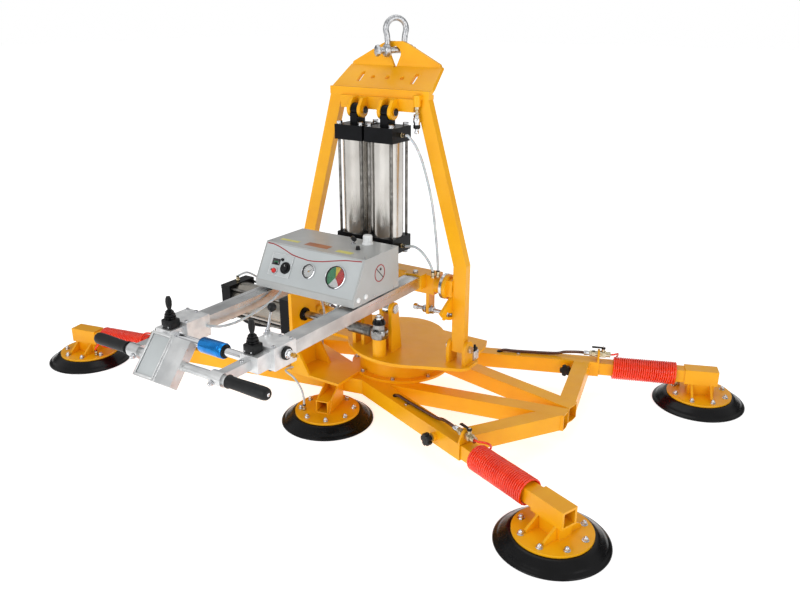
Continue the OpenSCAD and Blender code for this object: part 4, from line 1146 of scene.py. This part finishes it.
@dataclass
class ControlBox:
    """The folded control box: its panel, gauges, display, filter and plugs."""

    front_y: float = -580.0
    front_z: float = 626.0
    top_y: float = -515.0
    top_z: float = 743.0
    half_w: float = 202.5
    filter_at: Spot = (104.0, -363.5)
    test_valve_at: Spot = (62.0, -385.0)
    vent_at: Spot = (115.0, -433.5)
    body: str = "control_arm"

    def tilt(self) -> float:
        """Returns the panel's slope."""
        return math.atan2(self.top_z - self.front_z, self.top_y - self.front_y)

    def panel(self, x: float, up: float) -> Matrix:
        """Returns a placing on the panel: local X along the box, Y up the slope, Z outwards."""
        s, c = math.sin(self.tilt()), math.cos(self.tilt())
        return stand((x, self.front_y + up * c, self.front_z + up * s), up=(0, -s, c))

    def foil(self) -> None:
        """Makes the printed foil with its dark red wavy line."""
        sheet = PAINT.coat(soften(slab((-196, 4, 0.0), (196, 129, 0.7), 0.3, 1)), PANEL_FOIL)
        wave = [(-194, 128), (-159, 126), (-119, 116), (-78, 104), (-28, 98), (0, 97), (43, 102),
                (93, 113), (134, 121), (193, 127)]
        line = PAINT.coat(pipe(smooth_path([(x, up, 0) for x, up in wave]), 1.9, 2), RED_LINE)
        moved(line, shift(0, 0, 0.6) @ Matrix.Diagonal((1, 1, 0.35, 1)))
        fit(joined([sheet, line]), "panel_foil", self.panel(0, 0), self.body)

    def display(self) -> None:
        """Makes the switch module: window, black dial, small knob and push button seat."""
        plate = PAINT.coat(soften(slab((-45, -38, 0.5), (45, 38, 4.0), 1.2)), PANEL_FOIL)
        lip = PAINT.coat(turned([(44, 0), (45.4, 0), (45.4, 1), (44, 1)], 4, closed=True), ALU_BLASTED)
        moved(lip, Matrix.Diagonal((1.39, 1.17, 1, 1)) @ Matrix.Rotation(math.radians(45), 4, "Z"))
        moved(lip, shift(0, 0, 3.6))
        rim = PAINT.coat(soften(slab((-38, -2, 3.6), (-6, 19, 5.4), 0.8)), BLACK_NYLON)
        window = PAINT.coat(soften(slab((-35, 1, 5.0), (-9, 16, 5.9), 0.4)), DARK_LENS)
        parts = [plate, lip, rim, window]
        bar = PAINT.coat(slab((-1.0, -2.6, 5.8), (1.0, 2.6, 6.0), 0.2, 1), GREEN_INK)
        parts.append(ringed(bar, [shift(x, 8, 0) for x in (-28, -22, -16)]))
        dial = turned([(0, 4), (20, 4), (20, 6.5), (18.6, 8), (15.5, 8), (15, 6.8), (12, 6.8),
                       (11.5, 11), (10, 12.4), (0, 12.4)], 48)
        parts.append(moved(PAINT.coat(dial, BLACK_NYLON), shift(22, -6, 0)))
        mark = slab((21.4, -2, 12.2), (22.6, 3.5, 12.7), 0.2, 1)
        parts.append(PAINT.coat(mark, WHITE_ABS))
        knob = turned([(0, 4), (5, 4), (5, 9), (4, 10), (0, 10)], 24)
        parts.append(moved(PAINT.coat(knob, BLACK_NYLON), shift(3, 19, 0)))
        small = turned([(0, 4), (3, 4), (3, 6.5), (2.4, 7), (0, 7)], 20)
        parts.append(moved(PAINT.coat(small, BLACK_NYLON), shift(-33, -20, 0)))
        collar = turned([(8.6, 3.8), (11, 3.8), (11, 8), (9.8, 9.2), (8.6, 9.2)], 32, closed=True)
        parts.append(moved(PAINT.coat(collar, BRIGHT_STEEL), shift(-18, -22, 0)))
        fit(joined(parts), "switch_module", self.panel(-112, 62), self.body,
            ["box_fittings"])

    def face(self, radius: float, sectors: Sequence[tuple[float, float, Finish]]) -> Piece:
        """Makes a flat dial of coloured sectors, each from one angle to another in degrees."""
        deselect()
        bpy.ops.mesh.primitive_circle_add(vertices=72, radius=radius, fill_type="TRIFAN")
        dial = settle(bpy.context.object)
        select_parts(dial, Part.FACES, lambda c: True)
        bpy.ops.mesh.extrude_region_move(TRANSFORM_OT_translate={"value": (0, 0, 0.8)})
        bpy.ops.object.mode_set(mode="OBJECT")
        for _, _, finish in sectors:
            dial.data.materials.append(PAINT.material(finish))
        for poly in dial.data.polygons:
            angle = math.degrees(math.atan2(poly.center.y, poly.center.x)) % 360
            for k, (low, high, _) in enumerate(sectors):
                if low <= angle < high or low <= angle + 360 < high:
                    poly.material_index = k
        return dial

    def gauge(self, name: str, x: float, up: float, radius: float,
              sectors: Sequence[tuple[float, float, Finish]], needle: float, ticks: int) -> None:
        """Makes a round gauge with a bezel, dial, needle, hub, ticks and glass."""
        rim = turned([(radius - 3.4, 1.0), (radius, 0.5), (radius, 6), (radius - 1.2, 8.2),
                      (radius - 2.6, 8.6), (radius - 3.4, 7.6)], 72, closed=True)
        throat = turned([(radius - 5.4, 2.0), (radius - 3.2, 2.0), (radius - 3.2, 8.2),
                         (radius - 5.4, 6.6)], 72, closed=True)
        parts = [PAINT.coat(rim, CHROME), PAINT.coat(throat, BLACK_NYLON)]
        parts.append(moved(self.face(radius - 4.4, sectors), shift(0, 0, 2.2)))
        tick = PAINT.coat(slab((radius * 0.62, -0.45, 3.0), (radius * 0.78, 0.45, 3.3), 0.1, 1),
                          BLACK_INK)
        turns = [Matrix.Rotation(math.radians(-45 + 270 * k / (ticks - 1)), 4, "Z")
                 for k in range(ticks)]
        parts.append(ringed(tick, turns))
        hand = slab((-radius * 0.2, -0.7, 3.6), (radius * 0.62, 0.7, 4.2), 0.25, 1)
        select_parts(hand, Part.VERTICES, lambda v: v.x > radius * 0.5)
        bpy.ops.transform.resize(value=(1, 0.3, 1))
        bpy.ops.object.mode_set(mode="OBJECT")
        parts.append(moved(PAINT.coat(hand, BLACK_INK), Matrix.Rotation(math.radians(needle), 4, "Z")))
        hub = turned([(0, 3.2), (2.6, 3.2), (2.6, 5), (1.6, 5.6), (0, 5.6)], 20)
        parts.append(PAINT.coat(hub, BRASS))
        fit(joined(parts), name, self.panel(x, up), self.body, ["box_fittings"])
        glass = PAINT.coat(turned([(0, 6.0), (radius - 4.8, 6.0), (radius - 4.8, 7.0),
                                   (radius * 0.5, 7.5), (0, 7.7)], 48), Lens())
        fit(glass, f"{name}_glass", self.panel(x, up), self.body)

    def top(self) -> None:
        """Makes the filter cup, test valve, vent plug, screws and blank labels on the lid."""
        cup = turned([(0, 0), (19, 0), (19, 3), (16.5, 4.5), (15, 6), (14.6, 9), (15, 27), (13.6, 30),
                      (9, 31), (0, 31)], 48)
        ribs = PAINT.coat(slab((14.2, -1, 7), (15.8, 1, 27), 0.4, 1), WHITE_ABS)
        ring = ringed(ribs, [Matrix.Rotation(math.tau * k / 16, 4, "Z") for k in range(16)])
        place = stand((*self.filter_at, self.top_z))
        fit(joined([PAINT.coat(cup, WHITE_ABS), ring]), "filter_cup", place, self.body,
            ["box_fittings"])
        base = turned([(0, 0), (8, 0), (8, 4), (5.5, 6), (5.5, 14), (0, 14)], 28)
        barrel = moved(turned([(0, -15), (6.5, -15), (7.5, -13), (7.5, 9), (6.5, 11), (0, 11)], 28),
                       local((0, 0, 17), up=(-0.8, 0.6, 0), ahead=UP))
        fit(joined([PAINT.coat(base, BRIGHT_STEEL), PAINT.coat(barrel, BLACK_NYLON)]), "test_valve",
            stand((*self.test_valve_at, self.top_z)), self.body)
        vent = turned([(0, 0), (8, 0), (8, 3), (6.4, 4), (6.4, 10), (5, 12), (0, 12)], 28)
        fit(PAINT.coat(vent, BLACK_NYLON), "vent_plug", stand((*self.vent_at, self.top_z)), self.body)
        screws = ringed(socket_screw(3.6, 2.0), [shift(x, y, self.top_z)
                                                 for x in (-188, 188) for y in (-500, -345)])
        fit(screws, "lid_screws", TO_METRES, self.body)
        for k, (x, y, w, d, finish) in enumerate(((-176, -480, 78, 16, PALE_YELLOW),
                                                  (-68, -485, 96, 32, COPPER_FOIL),
                                                  (66, -492, 62, 22, PALE_YELLOW))):
            plate = PAINT.coat(soften(slab((x, y, 0), (x + w, y + d, 0.5), 0.2, 1)), finish)
            fit(plate, f"blank_label_{k}", stand((0, 0, self.top_z)), self.body)

    def side(self) -> None:
        """Makes the round side sign, plugs and seam screws on the right wall."""
        wall = local((self.half_w, 0, 0), up=AHEAD, ahead=ASIDE)
        ring = turned([(16.5, 0), (18.5, 0), (18.5, 0.6), (16.5, 0.6)], 48, closed=True)
        bar = slab((-17, -0.9, 0), (17, 0.9, 0.6), 0.2, 1)
        moved(bar, Matrix.Rotation(math.radians(-45), 4, "Z"))
        dot = turned([(0, 0), (3, 0), (3, 0.6), (0, 0.6)], 20)
        sign = joined([PAINT.coat(ring, RED_LINE), PAINT.coat(bar, BLACK_INK),
                       moved(PAINT.coat(dot, BLACK_INK), shift(3, 8, 0))])
        moved(sign, wall @ shift(-437, 680, 0) @ Matrix.Scale(1.55, 4))
        plug = PAINT.coat(turned([(0, 0), (8.6, 0), (8.6, 2), (6.6, 4.4), (3, 5.4), (0, 5.6)], 32),
                          WHITE_ABS)
        plugs = ringed(plug, [wall @ shift(self.front_y + 24 + 40 * k, 624, 0) for k in (0, 1)])
        screws = ringed(socket_screw(3, 1.8), [wall @ shift(y, 612, 0) for y in (-470, -360)])
        fit(joined([sign, plugs, screws]), "side_wall_fittings", TO_METRES, self.body,
            ["box_fittings"])

    def build(self) -> None:
        """Makes the box's pieces."""
        self.foil()
        self.display()
        self.gauge("vacuum_gauge", 114, 62, 39.0,
                   [(0, 72, RED_ABS), (72, 106, YELLOW_INK), (106, 236, GREEN_INK),
                    (236, 304, WHITE_ABS), (304, 360, RED_ABS)], 118, 9)
        self.gauge("air_gauge", 5, 62, 26.0, [(0, 360, WHITE_ABS)], 35, 13)
        button = turned([(0, 0), (7.8, 0), (7.8, 5), (7, 6.2), (4, 6.6), (0, 6.7)], 32)
        fit(PAINT.coat(button, RED_ABS), "stop_button_cap", self.panel(-130, 40) @ shift(0, 0, 7.5),
            "stop_button", ["stop_button"])
        self.top()
        self.side()


@dataclass
class ControlArm:
    """Handlebar, valve blocks, joysticks, ball lever, sleeve and display holder."""

    body: str = "control_arm"
    bar_y: float = -1114.0
    bar_z: float = 574.0
    block_y0: float = -960.0
    block_y1: float = -870.0
    block_top: float = 612.0
    block_out: float = 216.0
    beam_x: float = 171.5
    grip_x: float = 194.0
    tube_half: float = 136.0
    holder_x: float = -110.0
    holder_tilt: float = 49.6
    flange_x: float = 266.6
    axle_y: float = -132.0
    axle_z: float = 560.0

    def grips(self) -> None:
        """Makes the two soft grips with flared inner ends and bright end plugs."""
        outline = [(13.1, 0), (17.4, 0), (18.6, 1.2), (18.8, 4), (17.6, 7.5), (16.4, 12), (16.6, 40),
                   (17.4, 80), (17.8, 112), (17.4, 126), (15.8, 133), (12.4, 137.4), (8, 138.6),
                   (6, 138.7), (5.6, 137.8), (0, 137.8)]
        plug = turned([(0, 137.2), (5.2, 137.2), (5.2, 138.4), (4.2, 139), (0, 139)], 24)
        grip = joined([PAINT.coat(turned([(0, 0), *outline], 48), GRIP_RUBBER),
                       PAINT.coat(plug, CHROME)])
        places = [local((side * self.grip_x, self.bar_y, self.bar_z), up=(side, 0, 0), ahead=UP)
                  for side in (-1, 1)]
        fit(ringed(grip, places), "hand_grips", TO_METRES, self.body, ["grips"])

    def screws(self) -> None:
        """Puts the screws into the bar clamps, the blocks and the beam brackets."""
        spots = [(side * 161, -1030, self.bar_z + 14) for side in (-1, 1)]
        spots += [(side * x, y, self.block_top) for side in (-1, 1) for x, y in
                  ((206, self.block_y0 + 9), (206, self.block_y1 - 9), (168, self.block_y1 - 9),
                   (132, self.block_y0 + 9))]
        heads = ringed(socket_screw(5.4, 4.5), [shift(*spot) for spot in spots])
        fit(heads, "clamp_screws", TO_METRES, self.body)
        spots = [local((side * 152, self.bar_y - 19, self.bar_z - 7), up=(0, -0.94, -0.34))
                 for side in (-1, 1)]
        fit(ringed(cap_nut(13), spots), "clamp_nuts", TO_METRES, self.body)
        bolts = [shift(side * self.beam_x, -172, 601) for side in (-1, 1)]
        bolts += [local((side * 105, -154, 560), up=(0, -1, 0)) for side in (-1, 1)]
        fit(ringed(bolt_head(16, 8, 10), bolts), "bracket_bolts", TO_METRES, self.body)

    def fittings(self) -> None:
        """Makes the ports on the blocks: collar, hexagon and brass spigot outside, hose ports below."""
        collar = turned([(14, 0), (19.4, 0), (19.4, 7), (18, 9.4), (14, 9.4)], 40, closed=True)
        seat = turned([(0, 6), (14, 6), (14, 10), (12, 11), (0, 11)], 32)
        nut = moved(hexagon(19, 9), shift(0, 0, 10))
        spigot = moved(turned([(0, 0), (6, 0), (6, 6), (4.8, 7), (4.8, 13), (0, 13)], 24),
                       shift(0, 0, 19))
        big = joined([PAINT.coat(collar, BLACK_NYLON), PAINT.coat(seat, CHROME),
                      PAINT.coat(soften(nut, SHARP), CHROME), PAINT.coat(spigot, BRASS)])
        out = [local((side * self.block_out, -915, 585), up=(side, 0, 0), ahead=UP) for side in (-1, 1)]
        small = joined([PAINT.coat(soften(hexagon(13, 7), SHARP), BRASS),
                        PAINT.coat(moved(rod(4.6, 10, 0.6, 24), shift(0, 0, 6)), BRASS)])
        side_spots = [local((side * self.block_out, -884, 566), up=(side, 0, 0), ahead=UP)
                      for side in (-1, 1)]
        down = ringed(push_fitting(20), [local((side * 170, -930, 545), up=DOWN) for side in (-1, 1)])
        fit(joined([ringed(big, out), ringed(small, side_spots), down]), "block_fittings",
            TO_METRES, self.body)

    def hoses(self) -> None:
        """Runs the clear hoses from the blocks back inside the beams to the box's floor."""
        parts = []
        for side, drop in ((-1, 6), (1, 10)):
            path = [(side * 124, -884, 578), (side * 108, -874, 577), (side * 102, -846, 574 - drop),
                    (side * 106, -780, 570 - 2 * drop), (side * 112, -700, 570 - 2 * drop),
                    (side * 118, -620, 572 - drop), (side * 121, -560, 584), (side * 122, -536, 605)]
            parts.append(PAINT.coat(pipe(smooth_path(path), 4.2), CLEAR_HOSE))
        fit(joined(parts), "beam_hoses", TO_METRES, self.body)

    def joystick(self, side: int, name: str) -> None:
        """Makes a joystick: square base with cut corners, grip and a boot round its pivot."""
        base = slab((-20, -20, 0), (20, 20, 27), 4.5, 3)
        shoulder = turned([(0, 24), (18.4, 24), (18.4, 28.5), (15.5, 30), (15.5, 31.5), (17.5, 32.5),
                           (17, 34.5), (0, 35)], 40)
        screws = ringed(socket_screw(2.6, 1.6), [local((x, -20, 8), up=(0, -1, 0)) for x in (-12, 12)])
        fit(joined([PAINT.coat(soften(base), BLACK_NYLON), PAINT.coat(shoulder, CUP_RUBBER), screws]),
            f"joystick_base_{name}", stand((side * 162, self.block_y0 - 24, 600)), self.body,
            ["joystick_bases"])
        boot = turned([(0, -3), (15.4, -3), (16, -1), (15.4, 3.5), (12, 5.2), (12.8, 7.4), (12.4, 10.6),
                       (9, 12.4), (9.2, 14), (6.6, 15.6), (0, 16)], 40)
        grip = turned([(0, 14), (5.8, 14), (5.6, 18), (7.4, 24), (9.0, 31), (9.4, 40), (8.6, 48),
                       (7.4, 52.4), (6.4, 53), (6.0, 56.2), (3, 57.2), (0, 57.3)], 32)
        pivot = at_mark(JOINTS[f"joystick_{name}_tilt"]["pos_m"])
        fit(PAINT.coat(grip, BLACK_NYLON), f"joystick_grip_{name}", stand(pivot), f"joystick_{name}",
            [f"joystick_{name}"])
        boot.name = f"joystick_boot_{name}"
        place = stand(pivot)
        moved(PAINT.coat(boot, CUP_RUBBER), place)
        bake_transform(boot)
        LOG.info("%s gives as the stick tilts", boot.name)

    def ball_lever(self) -> None:
        """Makes the ball lever: chromed stem in a slotted boss, with a phenolic ball."""
        stem = turned([(0, 0), (5.8, 0), (5.8, 9), (4, 10), (4, 66), (0, 66)], 28)
        ball = turned([(0, 64), (5, 64), (5.6, 66.4), *((13 * math.cos(a), 78 + 13 * math.sin(a))
                       for a in (math.radians(-62 + 15 * k) for k in range(10))), (0, 91)], 40)
        lean = math.radians(16)
        pivot = at_mark(JOINTS["ball_lever_swing"]["pos_m"])
        boss = turned([(0, -8), (6.5, -8), (7.6, 0), (6.5, 5), (0, 6)], 28)
        fit(joined([PAINT.coat(stem, CHROME), PAINT.coat(ball, BLACK_NYLON),
                    PAINT.coat(boss, BRIGHT_STEEL)]),
            "ball_lever_stem", stand(pivot, up=(math.sin(lean), 0, math.cos(lean))), "ball_lever",
            ["ball_lever"])

    def sleeve(self) -> None:
        """Makes the blue sliding sleeve and the stops on its bright tube."""
        low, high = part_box("slide_sleeve")
        length = (high.x - low.x) / MM
        shell = turned([(12.6, 0), (19, 0), (22, 1.4), (23, 4), (23, length - 16), (21.6, length - 15),
                        (21.6, length - 12), (23, length - 11), (23, length - 3), (21.5, length),
                        (12.6, length)], 64, closed=True)
        ring = turned([(13.2, length - 0.4), (20, length - 0.4), (20, length + 1.2),
                       (13.2, length + 1.2)], 48, closed=True)
        middle_y, middle_z = (low.y + high.y) / 2 / MM, (low.z + high.z) / 2 / MM
        fit(joined([PAINT.coat(shell, BLUE_SLEEVE), PAINT.coat(ring, BLACK_NYLON)]), "blue_sleeve",
            stand((low.x / MM, middle_y, middle_z), up=AHEAD, ahead=UP), "slide_sleeve",
            ["slide_sleeve"])
        full = 2 * self.tube_half
        tube = turned([(12.0, 0), (12.54, 0), (12.54, full), (12.0, full)], 48, closed=True)
        stop = turned([(12.5, 0), (15.5, 0), (15.5, 6.5), (12.5, 6.5)], 40, closed=True)
        stops = ringed(PAINT.coat(stop, CHROME), [shift(0, 0, z) for z in (0.2, 264.8)])
        fit(joined([PAINT.coat(tube, CHROME), stops]), "bright_cross_tube",
            stand((-self.tube_half, middle_y, middle_z), up=AHEAD, ahead=UP), self.body)

    def holder(self) -> None:
        """Fits the pale inset, its rims and the fold lines on the display holder."""
        inset = PAINT.coat(soften(slab((9, -57, 20.8), (73, 57, 22.4), 0.5)), PANEL_FOIL)
        frame_bars = [slab((5, -62, 24.2), (8, 62, 26.2), 0.5),
                      slab((74, -62, 24.2), (77, 62, 26.2), 0.5),
                      slab((5, -62, 24.2), (77, -59, 26.2), 0.5),
                      slab((5, 59, 24.2), (77, 62, 26.2), 0.5),
                      slab((83, -66, 24.2), (85.5, 66, 26.0), 0.5)]
        parts = [PAINT.coat(soften(bar), ALU_BLASTED) for bar in frame_bars]
        tilt = math.radians(self.holder_tilt)
        place = stand((self.holder_x, self.bar_y, self.bar_z), up=(0, -math.sin(tilt), math.cos(tilt)))
        fit(joined([inset, *parts]), "holder_inset", place, self.body)

    def lock(self) -> None:
        """Adds the lock screw's nuts and washer, and the bright rims round the axle flanges."""
        low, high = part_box("lock_screw")
        y, z = (low.y + high.y) / 2 / MM, (low.z + high.z) / 2 / MM
        nuts = ringed(bolt_head(24, 12, 15), [local((x, y, z), up=(side, 0, 0), ahead=UP)
                                              for x, side in ((219, 1), (203, -1), (297, -1))])
        fit(nuts, "lock_screw_nuts", TO_METRES, "lock_screw")
        rim = PAINT.coat(turned([(43, 0), (45.4, 0.6), (45.4, 11), (43, 11.6)], 64, closed=True),
                         BRIGHT_STEEL)
        places = [local((side * self.flange_x, self.axle_y, self.axle_z), up=(side, 0, 0), ahead=UP)
                  for side in (-1, 1)]
        fit(ringed(rim, places), "axle_flange_rims", TO_METRES, self.body)

    def build(self) -> None:
        """Makes the arm's pieces."""
        self.grips()
        self.screws()
        self.fittings()
        self.hoses()
        self.joystick(-1, "left")
        self.joystick(1, "right")
        self.ball_lever()
        self.sleeve()
        self.holder()
        self.lock()


@dataclass
class Shackle:
    """The galvanised bow shackle with its bolt, nut and split pin."""

    wire: float = 10.0
    ear_at: float = 34.0
    bow_r: float = 37.0
    bow_z: float = 68.0
    low_end: float = -74.0

    def place(self) -> Matrix:
        """Returns the placing of the pin's frame: local Y along the pin, Z up."""
        axis = JOINTS["shackle_swing"]["axis"]
        return stand(at_mark(JOINTS["shackle_swing"]["pos_m"]), ahead=(axis[1], -axis[0], 0))

    def bow(self) -> None:
        """Makes the omega-shaped bow that swells into two eyes."""
        turns = [math.radians(-24 + 12 * k) for k in range(20)]
        arc = [(0, self.bow_r * math.cos(a), self.bow_z + self.bow_r * math.sin(a)) for a in turns]
        leg = [(0, self.ear_at - 1, 12), (0, self.ear_at - 3, 26), (0, self.ear_at - 2, 40)]
        path = [*leg, *arc, *((x, -y, z) for x, y, z in reversed(leg))]
        wire = pipe(smooth_path(path, 3), self.wire, 6)
        eye = turned([(11.2, -10), (18, -10), (22, -6), (23, 0), (22, 6), (18, 10), (11.2, 10)], 48,
                     closed=True)
        eyes = ringed(eye, [local((0, side * self.ear_at, 0), up=ASIDE) for side in (-1, 1)])
        fit(PAINT.coat(joined([soften(wire, 60), eyes]), GALVANISED), "shackle_bow", self.place(),
            "shackle", ["shackle"])

    def pin(self) -> None:
        """Makes the bolt with its hexagon head, the nut and the split pin."""
        along = local((0, self.low_end, 0), up=ASIDE)
        shank = moved(rod(10.9, 138, 1.2, 40), shift(0, 0, 8))
        head = hexagon(34, 13, 1.6)
        nut = moved(hexagon(32, 16, 1.6), shift(0, 0, 119))
        tail = moved(rod(1.6, 40, 0.4, 16), local((-20, 0, 141), up=AHEAD, ahead=UP))
        parts = [PAINT.coat(soften(shank), GALVANISED), PAINT.coat(soften(head, SHARP), GALVANISED),
                 PAINT.coat(soften(nut, SHARP), GALVANISED), PAINT.coat(tail, DARK_STEEL)]
        fit(moved(joined(parts), along), "shackle_bolt", self.place(), "shackle",
            ["shackle_pin"])

    def build(self) -> None:
        """Makes the shackle's pieces."""
        self.bow()
        self.pin()


CAD_FINISHES = {
    YELLOW_COAT: ("long_tube_front", "long_tube_rear", "cross_tube_front", "cross_tube_rear",
                  "end_braces", "arm_collars", "slew_base", "side_brackets", "turntable", "legs",
                  "lift_plate", "axle_mounts", "arm_crossbar",
                  *(f"arm_{name}" for name in ARM_NAMES)),
    NICKEL_BRASS: ("ball_valves",),
    CAP_BLACK: ("tilt_caps", "slew_cylinder"),
    BOX_COAT: ("control_box",),
    ALU_BARREL: ("tilt_barrels",),
    ALU_ALONG_Y: ("beams",),
    ALU_BLASTED: ("valve_blocks", "ejector"),
    ALU_ALONG_X: ("handlebar", "display_holder"),
    CHROME: ("tilt_rods",),
    POLISHED_STEEL: ("slew_rod",),
    BRIGHT_STEEL: ("hinge_bolts", "lock_screw"),
}


def dress_frame() -> None:
    """Gives every CAD node its finish."""
    for finish, nodes in CAD_FINISHES.items():
        for node in nodes:
            PAINT.coat(frame["nodes"][node], finish)


def main() -> None:
    """Builds the studio and every sub-assembly in order."""
    logging.basicConfig(level=logging.INFO, format="%(name)s: %(message)s")
    Studio().build()
    dress_frame()
    for name, knob_side in zip(ARM_NAMES, (1.0, -1.0, -1.0, 1.0)):
        ArmSet(name, knob_side).build()
    for assembly in (Lattice(), SlewDrive(), TiltMast(), Shackle(), ControlBox(), ControlArm()):
        assembly.build()


if __name__ == "__main__":
    main()
